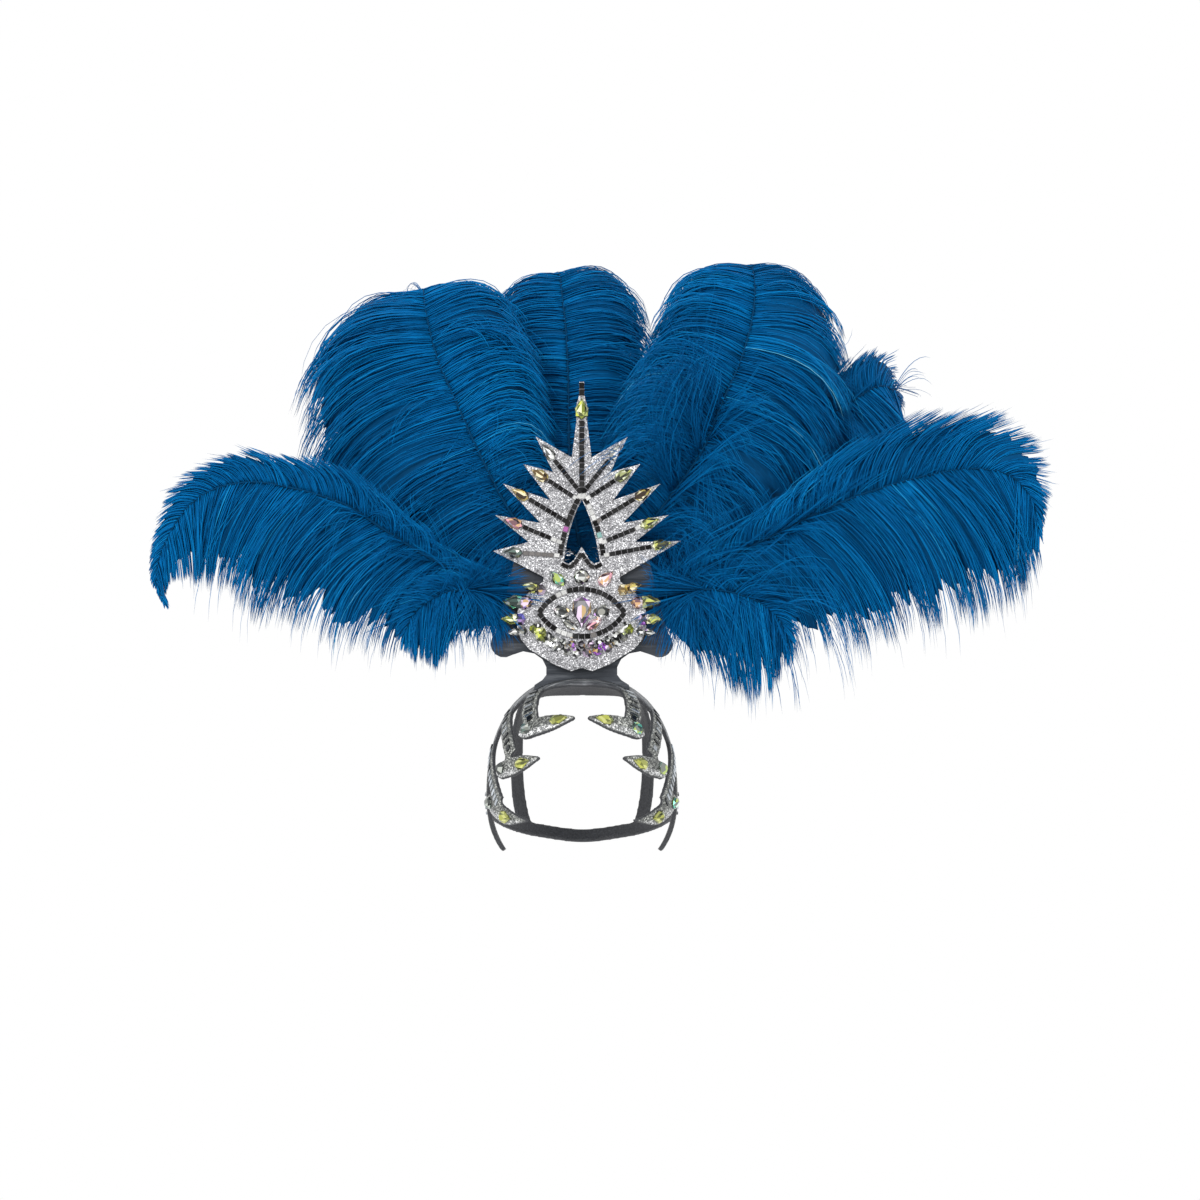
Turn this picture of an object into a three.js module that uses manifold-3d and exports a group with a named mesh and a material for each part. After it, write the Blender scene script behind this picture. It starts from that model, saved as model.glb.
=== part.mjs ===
// A showgirl feather headdress: an open cap of foam ribs that grips the head, a foam crest that stands
// on its crown with silver plates, cut stones and mirror tiles, and a fan of eight ostrich plumes whose
// quills are held in a pad behind the crest.
// Millimetres, +Z up, the wearer faces -Y. The origin is the inside of the crown, where the head bears.
import * as THREE from "three";
import { mergeVertices } from "three/addons/utils/BufferGeometryUtils.js";
import Module from "manifold-3d";

const wasm = await Module();
wasm.setup();

// Driving sizes
const cap = { halfWidth: 86, halfLength: 102, rise: 111, fall: 78, fullness: 2.3, wall: 4 };
const seatGap = 0.3; // a glued piece keeps this clear of what carries it
const bothLabels = [["left", -1], ["right", 1]];
const plate = { backing: 5, silver: 4, point: 1.6 };
const backingBackY = -29; // the rear face of the crest, just ahead of the top of the head
const pad = { radius: 40, centreZ: 62, depth: 30, sides: 32 };
const tile = {
  width: 4.4,
  spikeWidth: 3.8,
  peakWidth: 3.4,
  length: 5.4,
  bed: 0.8,
  height: 1.7,
  groove: 0.08, // as a share of the tile's length, at each end
};
const stoneSides = 8;
const tableShare = 0.55; // width of a stone's flat table against its girdle
const quill = { base: 2.4, tip: 1.1, gap: 0.5, straight: 16 };

// A plume's vane: barbs of a few steps each leave the shaft at the plume's rise in degrees, which
// grows to tipRise at its tip, and droop is the share of the way to their hanging direction that they
// turn. Every second lock is shorter by the notch, and lift holds the upright barbs up. However far a
// barb turns, its heading still leads off the shaft by the clearance, so no barb crosses the shaft
const vane = { thickness: 1.8, steps: 3, notch: 0.8 };
const barb = {
  tipRise: 80,
  droop: 0.85,
  bend: 1.3,
  lift: 2.2,
  upright: 0.5,
  clearance: 0.18,
};

const backingFrontY = backingBackY - plate.backing;
const burstBackY = backingFrontY - seatGap;
const burstFrontY = burstBackY - plate.silver;
const eyeBackY = burstFrontY - seatGap;
const eyeFrontY = eyeBackY - plate.silver;
const capCentreZ = cap.wall - cap.rise;

// Materials
const finish = (color, roughness, metalness) =>
  new THREE.MeshStandardMaterial({ color, roughness, metalness });
const darkFoam = finish(0x3c3f46, 0.85, 0);
const greyGlitter = finish(0x74777a, 0.5, 0.4);
const silverGlitter = finish(0xb4b1b6, 0.45, 0.5);
const mirror = finish(0xc9ccd0, 0.08, 1);
const crystal = finish(0xdcdde0, 0.1, 0.2);
const greenAurora = finish(0xb9c07a, 0.1, 0.2);
const violetAurora = finish(0xa684c8, 0.1, 0.2);
const plumeBlue = finish(0x0b5288, 0.8, 0);

const model = new THREE.Group();

function addPiece(name, geometry, material) {
  const mesh = new THREE.Mesh(geometry, material);
  mesh.name = name;
  model.add(mesh);
}

// Solids: a closed geometry becomes a manifold solid and back
function toSolid(geometry) {
  const bare = geometry.clone();
  bare.deleteAttribute("normal");
  bare.deleteAttribute("uv");
  const merged = mergeVertices(bare, 1e-4);
  return new wasm.Manifold(
    new wasm.Mesh({
      numProp: 3,
      vertProperties: merged.attributes.position.array,
      triVerts: new Uint32Array(merged.index.array),
    }),
  );
}

function toGeometry(solid) {
  const mesh = solid.getMesh();
  const positions = new Float32Array(mesh.vertProperties);
  return new THREE.BufferGeometry()
    .setAttribute("position", new THREE.BufferAttribute(positions, 3))
    .setIndex(new THREE.BufferAttribute(mesh.triVerts, 1));
}

const fuse = (geometries) => toGeometry(geometries.map(toSolid).reduce((a, b) => a.add(b)));

// A closed mesh from points and triangles, turned round where its faces point inwards
function closedMesh(points, triangles) {
  const volume = triangles.reduce(
    (sum, [a, b, c]) => sum + points[a].dot(points[b].clone().cross(points[c])),
    0,
  );
  const facing = volume < 0 ? triangles.map(([a, b, c]) => [a, c, b]) : triangles;
  return new THREE.BufferGeometry().setFromPoints(points).setIndex(facing.flat());
}

// A closed body lofted through rings of equally many points, with a fan over each end
function loft(rings) {
  const sides = rings[0].length;
  const triangles = [];
  for (let r = 0; r + 1 < rings.length; r++)
    for (let k = 0; k < sides; k++) {
      const [a, b] = [r * sides + k, r * sides + ((k + 1) % sides)];
      triangles.push([a, b, b + sides], [a, b + sides, a + sides]);
    }
  const last = (rings.length - 1) * sides;
  for (let k = 1; k + 1 < sides; k++)
    triangles.push([0, k + 1, k], [last, last + k, last + k + 1]);
  return closedMesh(rings.flat(), triangles);
}

// Foam cap: bands that run over a full, egg-shaped surface. A direction from its centre has an azimuth,
// 0 at the front and 90 over the wearer's left ear, and an elevation
function capPoint(azimuth, elevation) {
  const [a, e] = [azimuth, elevation].map(THREE.MathUtils.degToRad);
  return new THREE.Vector3(
    Math.cos(e) * Math.sin(a),
    -Math.cos(e) * Math.cos(a),
    Math.sin(e),
  );
}

const capAxes = (direction, inset = 0) => [
  cap.halfWidth - inset,
  cap.halfLength - inset,
  (direction.z > 0 ? cap.rise : cap.fall) - inset,
];

// A direction from the cap's centre, carried to the surface that lies inset below the outer face
function onCap(direction, inset = 0) {
  const parts = direction.toArray();
  const size = parts.reduce((sum, part) => sum + Math.abs(part) ** cap.fullness, 0);
  const axes = capAxes(direction, inset);
  const [x, y, z] = parts.map((part, k) => (part / size ** (1 / cap.fullness)) * axes[k]);
  return new THREE.Vector3(x, y, capCentreZ + z);
}

function capDirection(point) {
  const offset = new THREE.Vector3(point.x, point.y, point.z - capCentreZ);
  const axes = capAxes(offset);
  return new THREE.Vector3(...offset.toArray().map((part, k) => part / axes[k]));
}

function capNormal(direction) {
  const axes = capAxes(direction);
  const slopes = direction
    .toArray()
    .map((part, k) => (Math.sign(part) * Math.abs(part) ** (cap.fullness - 1)) / axes[k]);
  return new THREE.Vector3(...slopes).normalize();
}

// A curved foam band: rows are azimuth, elevation and half width. A wide band is rounded across its
// middle, and a narrow one is flat across
const headingStep = 0.01; // the stretch of a band's line that its heading is taken over
function capBand(rows, segments, wide = false) {
  const line = new THREE.CatmullRomCurve3(rows.map(([a, e]) => capPoint(a, e)));
  const widths = new THREE.CatmullRomCurve3(rows.map((row) => new THREE.Vector3(row[2], 0, 0)));
  const rings = [];
  for (let k = 0; k <= segments; k++) {
    const t = k / segments;
    const direction = line.getPoint(t).normalize();
    const middle = onCap(direction);
    const ahead = onCap(line.getPoint(Math.min(1, t + headingStep)));
    const behind = onCap(line.getPoint(Math.max(0, t - headingStep)));
    const across = ahead.sub(behind).cross(capNormal(direction)).normalize();
    const outer = (wide ? [-1, 0, 1] : [-1, 1]).map((side) =>
      capDirection(middle.clone().addScaledVector(across, side * widths.getPoint(t).x)),
    );
    const inner = [...outer].reverse();
    rings.push([...outer.map((d) => onCap(d)), ...inner.map((d) => onCap(d, cap.wall))]);
  }
  return loft(rings);
}

const mirrored = (rows) => rows.map(([azimuth, ...rest]) => [-azimuth, ...rest]);

// The band that arches from ear to ear, given from the crown's middle to the ear
const archSide = [
  [50, 68, 16],
  [72, 54, 13.5],
  [82, 38, 12],
  [85, 20, 10],
  [84, 6, 8.5],
  [82, -6, 7],
];
const rearSide = [
  [155, 57, 10],
  [115, 51, 10],
  [87, 40, 9],
];
const napeSide = [
  [155, -28, 7],
  [120, -17, 7.5],
  [86, -2, 8],
];
const bothSides = (rows, middle) => [...mirrored(rows).reverse(), middle, ...rows];

// On each side three boots hang forward from the arch, each a stem and then a foot from its heel to its
// toe. A tab hangs over the ear, and behind it a plain rib joins the nape band
const sideBands = {
  stem_1: { segments: 3, rows: [[58, 60, 9], [51, 51, 9], [43, 42, 9], [37, 36, 8.5]] },
  foot_1: {
    segments: 7,
    rows: [
      [45, 31, 3.5],
      [39.5, 32.5, 9],
      [30, 35.4, 9.5],
      [20, 38, 8],
      [11, 40, 4.5],
      [4.2, 40.8, 0.7],
    ],
  },
  stem_2: { segments: 4, rows: [[82, 44, 10], [70, 37.5, 8.5], [57, 29.6, 8.5], [47, 21, 8]] },
  foot_2: {
    segments: 7,
    rows: [
      [60, 13, 3.5],
      [53.5, 14, 8.5],
      [44, 16, 9],
      [35.5, 18.3, 7],
      [29.5, 19.8, 3.5],
      [25.5, 20.7, 0.7],
    ],
  },
  stem_3: { segments: 4, rows: [[85, 26, 9], [76, 17, 9.5], [65, 8, 9.5], [55, -1.5, 9]] },
  foot_3: {
    segments: 7,
    rows: [
      [75, 0, 4],
      [69, -1.5, 8.5],
      [60, -4.5, 9.5],
      [49, -8.6, 8.5],
      [40, -10, 4.5],
      [32, -10.4, 0.7],
    ],
  },
  ear_tab: { segments: 4, rows: [[90, 4, 9], [92, -10, 10], [92, -24, 9], [90, -37, 4.5]] },
  rear_rib: { segments: 5, rows: [[120, 52, 8], [130, 32, 8], [136, 8, 8], [140, -22, 8]] },
};

addPiece(
  "cap_frame",
  fuse([
    capBand(bothSides(archSide, [0, 73, 16]), 20, true),
    capBand(bothSides(rearSide, [180, 58, 10]), 10),
    capBand(bothSides(napeSide, [180, -32, 7]), 12),
    ...Object.values(sideBands).flatMap(({ rows, segments }) => [
      capBand(rows, segments),
      capBand(mirrored(rows), segments),
    ]),
  ]),
  greyGlitter,
);

// Crest plates: outlines in the plane of the crest as x and z, each side given from the foot up with x
// measured outwards
function sidedShape(right, left, holes = []) {
  const points = [...right, ...left.map(([x, z]) => [-x, z]).reverse()];
  const shape = new THREE.Shape(points.map(([x, z]) => new THREE.Vector2(x, z)));
  shape.holes = holes;
  return shape;
}

const evenShape = (half) => sidedShape(half, half.filter(([x]) => x > 0));

// Extrudes a shape of x and z forward from its rear face at backY
function plateSolid(shape, backY, thickness) {
  return new THREE.ExtrudeGeometry(shape, { depth: thickness, bevelEnabled: false, curveSegments: 6 })
    .rotateX(Math.PI / 2)
    .translate(0, backY, 0);
}

// The dark backing: a foot on the cap, a waisted neck, a round lobe on each side and a hidden top
const lobe = { x: 69, z: 31.5, radius: 12, from: -125, to: 50, steps: 7 };
const lobeArc = Array.from({ length: lobe.steps + 1 }, (_, k) => {
  const angle = THREE.MathUtils.degToRad(lobe.from + ((lobe.to - lobe.from) * k) / lobe.steps);
  return [lobe.x + lobe.radius * Math.cos(angle), lobe.z + lobe.radius * Math.sin(angle)];
});
const backingOutline = [
  [0, -20],
  [44, -20],
  [42, -5],
  [35, -0.5],
  [31.5, 4],
  [31.5, 11],
  [35, 18],
  [42, 23],
  [52, 25],
  ...lobeArc,
  [71, 60],
  [65, 84],
  [60, 106],
  [40, 106],
  [20, 101],
  [0, 100],
];
const cutter = { around: 48, down: 36 };
const capCutter = new THREE.SphereGeometry(1, cutter.around, cutter.down).rotateX(Math.PI / 2);
const cutterPlace = capCutter.attributes.position;
for (let k = 0; k < cutterPlace.count; k++) {
  const direction = new THREE.Vector3().fromBufferAttribute(cutterPlace, k);
  cutterPlace.setXYZ(k, ...onCap(direction, -2 * seatGap).toArray());
}
const backing = plateSolid(evenShape(backingOutline), backingBackY, plate.backing);
addPiece(
  "crest_backing",
  toGeometry(toSolid(backing).subtract(toSolid(capCutter))),
  darkFoam,
);

// The pad that the quills are glued into, hidden behind the crest
const padRearY = backingBackY + seatGap + pad.depth;
addPiece(
  "quill_pad",
  new THREE.CylinderGeometry(pad.radius, pad.radius, pad.depth, pad.sides).translate(
    0,
    padRearY - pad.depth / 2,
    pad.centreZ,
  ),
  darkFoam,
);

// The sunburst: spikes from the lowest up, each with its tip and the valley above it as on the right
// side, and the share of the arch, from its apex down, where its row of tiles joins. The lowest spike
// was cut longer on the right than on the left
const spikes = [
  { tip: [88, 123], leftTip: [79, 114], valley: [47.2, 122], joins: 1 },
  { tip: [77, 146], valley: [36.8, 139], joins: 0.8 },
  { tip: [69.8, 173.8], valley: [28, 159.2], joins: 0.47 },
  { tip: [52, 191.2], valley: [25.5, 184.2], joins: 0.1 },
  { tip: [41, 215.7], valley: [8.8, 197], joins: 0 },
];
const mast = {
  rootZ: 160,
  stripTopZ: 229.7,
  stoneZ: 240.3,
  barZ: 251.7,
  barTopZ: 263.4,
  tipZ: 264,
  edge: [[4.8, 229], [4.8, 243], [2.3, 252]],
};
const burstFoot = { halfWidth: 34, bottomZ: 72, topZ: 91 };
const burstSide = (tipOf) => [
  [burstFoot.halfWidth, burstFoot.bottomZ],
  [burstFoot.halfWidth, burstFoot.topZ],
  ...spikes.flatMap((spike) => [tipOf(spike), spike.valley]),
  ...mast.edge,
  [mast.edge.at(-1)[0], mast.tipZ],
];
const tipOn = (side) => (spike) => (side < 0 && spike.leftTip) || spike.tip;

// The drop-shaped opening, and the arch of tiles that runs round it at a small distance
const drop = { apexZ: 159.7, bottomZ: 102, halfWidth: 16.3, shoulder: { x: 12, z: 137 } };
const arch = { apex: [0.6, 165.2], shoulder: [15.4, 138], foot: [19.3, 110] };
const dropHole = new THREE.Path()
  .moveTo(0, drop.apexZ)
  .quadraticCurveTo(-drop.shoulder.x, drop.shoulder.z, -drop.halfWidth, drop.bottomZ)
  .lineTo(drop.halfWidth, drop.bottomZ)
  .quadraticCurveTo(drop.shoulder.x, drop.shoulder.z, 0, drop.apexZ);
addPiece(
  "sunburst_plate",
  plateSolid(
    sidedShape(
      [[0, burstFoot.bottomZ], ...burstSide(tipOn(1))],
      burstSide(tipOn(-1)),
      [dropHole],
    ),
    burstBackY,
    plate.silver,
  ),
  silverGlitter,
);

// The eye plate in front of the sunburst's foot, with a small peak and a lower point
const eyeOutline = [
  [0, 10.5],
  [9.3, 7.5],
  [24.6, 13.5],
  [35.6, 20.5],
  [46.5, 27],
  [54, 36],
  [57, 46],
  [57.5, 57],
  [55.5, 67],
  [49.5, 75],
  [42, 81],
  [34, 87],
  [33.5, 95],
  [27.5, 102],
  [19, 106],
  [11.5, 102.5],
  [7, 106],
  [0, 118],
];
addPiece(
  "eye_plate",
  plateSolid(evenShape(eyeOutline), eyeBackY, plate.silver),
  silverGlitter,
);
addPiece(
  "lower_point",
  plateSolid(evenShape([[0, 11], [7, 10.5], [0, 19]]), eyeFrontY - seatGap, plate.point),
  silverGlitter,
);

// A row of mirror tiles along a line of x and z, each tile raised from one thin bed, with a groove
// before the next
function tileRow(line, backY, width = tile.width) {
  const count = Math.max(1, Math.round(line.getLength() / tile.length));
  const [points, triangles] = [[], []];
  const put = (steps, height) => {
    const t = steps / count;
    const [point, along] = [line.getPointAt(t), line.getTangentAt(t)];
    for (const side of [-width / 2, width / 2])
      points.push(
        new THREE.Vector3(point.x - along.y * side, backY - height, point.y + along.x * side),
      );
    return points.length - 2;
  };
  const wall = (a, b) => triangles.push([a, b, b + 1], [a, b + 1, a + 1]);
  let [foot, bed] = [put(0, 0), put(0, tile.bed)];
  wall(bed, foot);
  for (let k = 1; k <= count; k++) {
    const near = put(k - 1 + tile.groove, tile.height);
    const far = put(k - tile.groove, tile.height);
    const [nextFoot, nextBed] = [put(k, 0), put(k, tile.bed)];
    [[foot, nextFoot], [nextBed, far], [far, near], [near, bed]].forEach(([a, b]) => wall(a, b));
    const loop = [foot, nextFoot, nextBed, far, near, bed];
    for (let n = 1; n + 1 < loop.length; n++) {
      triangles.push([foot, loop[n + 1], loop[n]]);
      triangles.push([foot + 1, loop[n] + 1, loop[n + 1] + 1]);
    }
    [foot, bed] = [nextFoot, nextBed];
  }
  wall(foot, bed);
  return closedMesh(points, triangles);
}

const straight = ([x0, z0], [x1, z1]) =>
  new THREE.LineCurve(new THREE.Vector2(x0, z0), new THREE.Vector2(x1, z1));

// The stone of a spike has its middle this far back from the tip, and the row of tiles ends at it
const spikeStone = { setback: 17.5, length: 18, width: 8.4, height: 4.4 };
const towards = (from, to, distance) => {
  const length = Math.hypot(to[0] - from[0], to[1] - from[1]);
  return [0, 1].map((k) => from[k] + ((to[k] - from[k]) * distance) / length);
};

const burstTileY = burstFrontY - seatGap;
const archLine = new THREE.QuadraticBezierCurve(
  ...[arch.apex, arch.shoulder, arch.foot].map(([x, z]) => new THREE.Vector2(x, z)),
);
const spikeRoot = ({ joins }) => archLine.getPoint(joins).toArray();
const stripEnd = spikeStone.setback + spikeStone.length / 2 + seatGap;
const acrossMiddle = (geometry) => {
  const copy = geometry.clone().scale(-1, 1, 1);
  copy.setIndex([...copy.index.array].reverse());
  return copy;
};
const sideStrips = (side) =>
  [
    tileRow(archLine, burstTileY),
    ...spikes.map((spike) => {
      const root = spikeRoot(spike);
      const end = towards(tipOn(side)(spike), root, stripEnd);
      return tileRow(straight(root, end), burstTileY, tile.spikeWidth);
    }),
  ].map((row) => (side < 0 ? acrossMiddle(row) : row));
addPiece(
  "mirror_tiles_sunburst",
  fuse([
    tileRow(straight([0, mast.rootZ], [0, mast.stripTopZ]), burstTileY),
    ...sideStrips(1),
    ...sideStrips(-1),
  ]),
  mirror,
);
addPiece(
  "mirror_bar_top",
  tileRow(straight([0, mast.barZ], [0, mast.barTopZ]), burstTileY),
  mirror,
);

// The almond of tiles around the eye, two arcs that meet at its corners
const eye = { z: 59.3, halfLength: 37.8, rise: 20.9 };
const eyeRadius = (eye.halfLength ** 2 + eye.rise ** 2) / (2 * eye.rise);
const eyeHalfAngle = Math.asin(eye.halfLength / eyeRadius);
const eyeArc = (side) =>
  new THREE.EllipseCurve(
    0,
    eye.z + side * (eye.rise - eyeRadius),
    eyeRadius,
    eyeRadius,
    (side * Math.PI) / 2 - eyeHalfAngle,
    (side * Math.PI) / 2 + eyeHalfAngle,
  );
const eyeTileY = eyeFrontY - seatGap;
addPiece(
  "mirror_tiles_eye",
  fuse([1, -1].map((side) => tileRow(eyeArc(side), eyeTileY))),
  mirror,
);

// The row of tiles that follows the small peak above the eye
const peakSide = [[6.6, 102], [11.5, 99.2], [18, 102.6]];
const peakPoints = [...peakSide.map(([x, z]) => [-x, z]).reverse(), [0, 112], ...peakSide];
const peakRow = (to, k) => tileRow(straight(peakPoints[k], to), eyeTileY, tile.peakWidth);
addPiece("mirror_tiles_peak", fuse(peakPoints.slice(1).map(peakRow)), mirror);

// Cut stones: an outline with a flat back, a ring of crown facets and a flat table. A drop narrows
// towards its pointed end, and a navette towards both ends
const narrowing = {
  round: () => 1,
  drop: (angle) => Math.min(1, 1.25 * Math.sin(angle / 2) ** 1.3),
  navette: (angle) => Math.abs(Math.sin(angle)) ** 0.5,
};
function stoneOutline({ cut, length, width }) {
  return Array.from({ length: stoneSides }, (_, k) => {
    const angle = (2 * Math.PI * k) / stoneSides;
    return new THREE.Vector2(
      (length / 2) * Math.cos(angle),
      (width / 2) * Math.sin(angle) * narrowing[cut](angle),
    );
  });
}

// A stone on its back at the origin, its pointed end along +X and its table up +Z
function stoneSolid(stone) {
  const outline = stoneOutline(stone);
  const ring = (share, height) =>
    outline.map((p) => new THREE.Vector3(p.x * share, p.y * share, height));
  return loft([ring(1, 0), ring(tableShare, stone.height)]);
}

// Sets a stone on the crest at x and z, turned by angle from +X, with its back at backY
function crestStone(stone, backY) {
  return stoneSolid(stone)
    .rotateZ(THREE.MathUtils.degToRad(stone.angle))
    .rotateX(Math.PI / 2)
    .translate(stone.x, backY, stone.z);
}

const degreesTo = (from, to) =>
  THREE.MathUtils.radToDeg(Math.atan2(to[1] - from[1], to[0] - from[0]));

const mastStone = { cut: "drop", x: 0, z: mast.stoneZ, length: 19, width: 11.5, height: 5.5, angle: 90 };
addPiece("mast_stone", crestStone(mastStone, burstTileY), greenAurora);
for (const [label, side] of bothLabels)
  spikes.forEach((spike, k) => {
    const [outer, inner] = [tipOn(side)(spike), spikeRoot(spike)].map(([x, z]) => [side * x, z]);
    const [x, z] = towards(outer, inner, spikeStone.setback);
    addPiece(
      `spike_stone_${label}_${k + 1}`,
      crestStone({ cut: "drop", x, z, angle: degreesTo(inner, outer), ...spikeStone }, burstTileY),
      greenAurora,
    );
  });

// Stones of the eye and above it: those off the middle stand once on each side. A row is the cut, then
// x, z, length, width, height and angle
const eyeStones = {
  pupil_stone: ["drop", 0, 60, 27, 15, 6.5, -90],
  eye_oval: ["round", 17.5, 60, 14.5, 11, 4.5, 20],
  eye_petal: ["navette", 10.3, 48.9, 16, 7, 4, 33],
  brow_round: ["round", 0, 91.2, 13.4, 13.4, 5, 0],
  brow_drop: ["drop", 21.8, 89.8, 16.5, 8.5, 4.5, 47],
};
const stoneOf = ([cut, x, z, length, width, height, angle], side = 1) => ({
  cut,
  x: side * x,
  z,
  length,
  width,
  height,
  angle: side > 0 ? angle : 180 - angle,
});
for (const [name, row] of Object.entries(eyeStones)) {
  const material = name === "pupil_stone" ? violetAurora : crystal;
  const offMiddle = row[1] > 0;
  const sides = offMiddle ? bothLabels.map(([label, side]) => [`_${label}`, side]) : [["", 1]];
  for (const [label, side] of sides)
    addPiece(name + label, crestStone(stoneOf(row, side), eyeTileY), material);
}

// Pairs at the side of the eye: a round stone, and a long drop that runs out from its outer edge
const sidePairs = [
  [["round", 36.5, 79.5, 8.5, 8.5, 5.2, 0], ["drop", 46, 82, 15, 7.5, 4, 18]],
  [["round", 49.5, 68.5, 11, 11, 5.2, 0], ["drop", 60.5, 69, 19.5, 10.5, 4, 3]],
  [["round", 54.5, 53.5, 9, 9, 5.2, 0], ["drop", 63.5, 53.8, 16, 8.5, 4, 0]],
  [["round", 52.5, 43, 7.6, 7.6, 5.2, 0], ["drop", 60, 42, 13, 5.5, 4, -6]],
];
for (const [label, side] of bothLabels)
  sidePairs.forEach((pair, k) => {
    const stones = pair.map((row) => crestStone(stoneOf(row, side), eyeTileY));
    addPiece(`side_stones_${label}_${k + 1}`, fuse(stones), greenAurora);
  });

// The field of small stones below the eye, on one thin crescent of a bed
const field = {
  z: 61,
  from: 200,
  to: 340,
  bed: 0.8,
  bedSteps: 14,
  outer: { halfWidth: 49, halfHeight: 40 },
  inner: { halfWidth: 41, halfHeight: 27.2 },
};
const fieldRows = [
  { halfWidth: 43.5, halfHeight: 30, count: 13, size: 5.6, height: 3.6 },
  { halfWidth: 46.5, halfHeight: 37, count: 12, size: 6.6, height: 4 },
];
function fieldPoint({ halfWidth, halfHeight }, share) {
  const angle = THREE.MathUtils.degToRad(field.from + (field.to - field.from) * share);
  return [halfWidth * Math.cos(angle), field.z + halfHeight * Math.sin(angle)];
}
const bedShares = Array.from({ length: field.bedSteps + 1 }, (_, k) => k / field.bedSteps);
const bedEdge = (ellipse) => bedShares.map((share) => fieldPoint(ellipse, share));
const bedShape = new THREE.Shape(
  [...bedEdge(field.outer), ...bedEdge(field.inner).reverse()].map(
    ([x, z]) => new THREE.Vector2(x, z),
  ),
);
addPiece(
  "stone_field",
  fuse([
    plateSolid(bedShape, eyeTileY, field.bed),
    ...fieldRows.flatMap((row) =>
      Array.from({ length: row.count }, (_, k) => {
        const [x, z] = fieldPoint(row, (k + 0.5) / row.count);
        const stone = { cut: "round", x, z, angle: 0, length: row.size, width: row.size };
        return crestStone({ ...stone, height: row.height }, eyeTileY - field.bed / 2);
      }),
    ),
  ]),
  crystal,
);

// Stones on the cap's boots, turned to the tip of the toe: a drop before each toe and a round or an
// oval on each heel. A row is the boot, then azimuth, elevation, length and width
const capStoneHeight = 4;
const capStones = {
  toe_stone: {
    cut: "drop",
    material: greenAurora,
    rows: [[1, 16.5, 38.8, 15, 8], [2, 36.5, 17.6, 15, 8.5], [3, 48.5, -8.8, 16, 9.5]],
  },
  heel_stone: {
    cut: "round",
    material: crystal,
    rows: [[1, 39, 33.2, 11, 11], [2, 54, 14.6, 9.5, 9.5], [3, 68, -1.6, 14, 10]],
  },
};
function capStone(cut, [boot, azimuth, elevation, length, width], side) {
  const direction = capPoint(side * azimuth, elevation);
  const [toeAzimuth, toeElevation] = sideBands[`foot_${boot}`].rows.at(-1);
  const toe = onCap(capPoint(side * toeAzimuth, toeElevation));
  const seat = onCap(direction);
  const up = capNormal(direction);
  const along = toe.sub(seat).projectOnPlane(up).normalize();
  const turn = new THREE.Matrix4().makeBasis(along, up.clone().cross(along), up);
  return stoneSolid({ cut, length, width, height: capStoneHeight })
    .applyMatrix4(turn)
    .translate(...seat.addScaledVector(up, seatGap).toArray());
}
for (const [label, side] of bothLabels)
  for (const [name, { cut, material, rows }] of Object.entries(capStones))
    for (const row of rows)
      addPiece(`${name}_${row[0]}_${label}`, capStone(cut, row, side), material);

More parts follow.
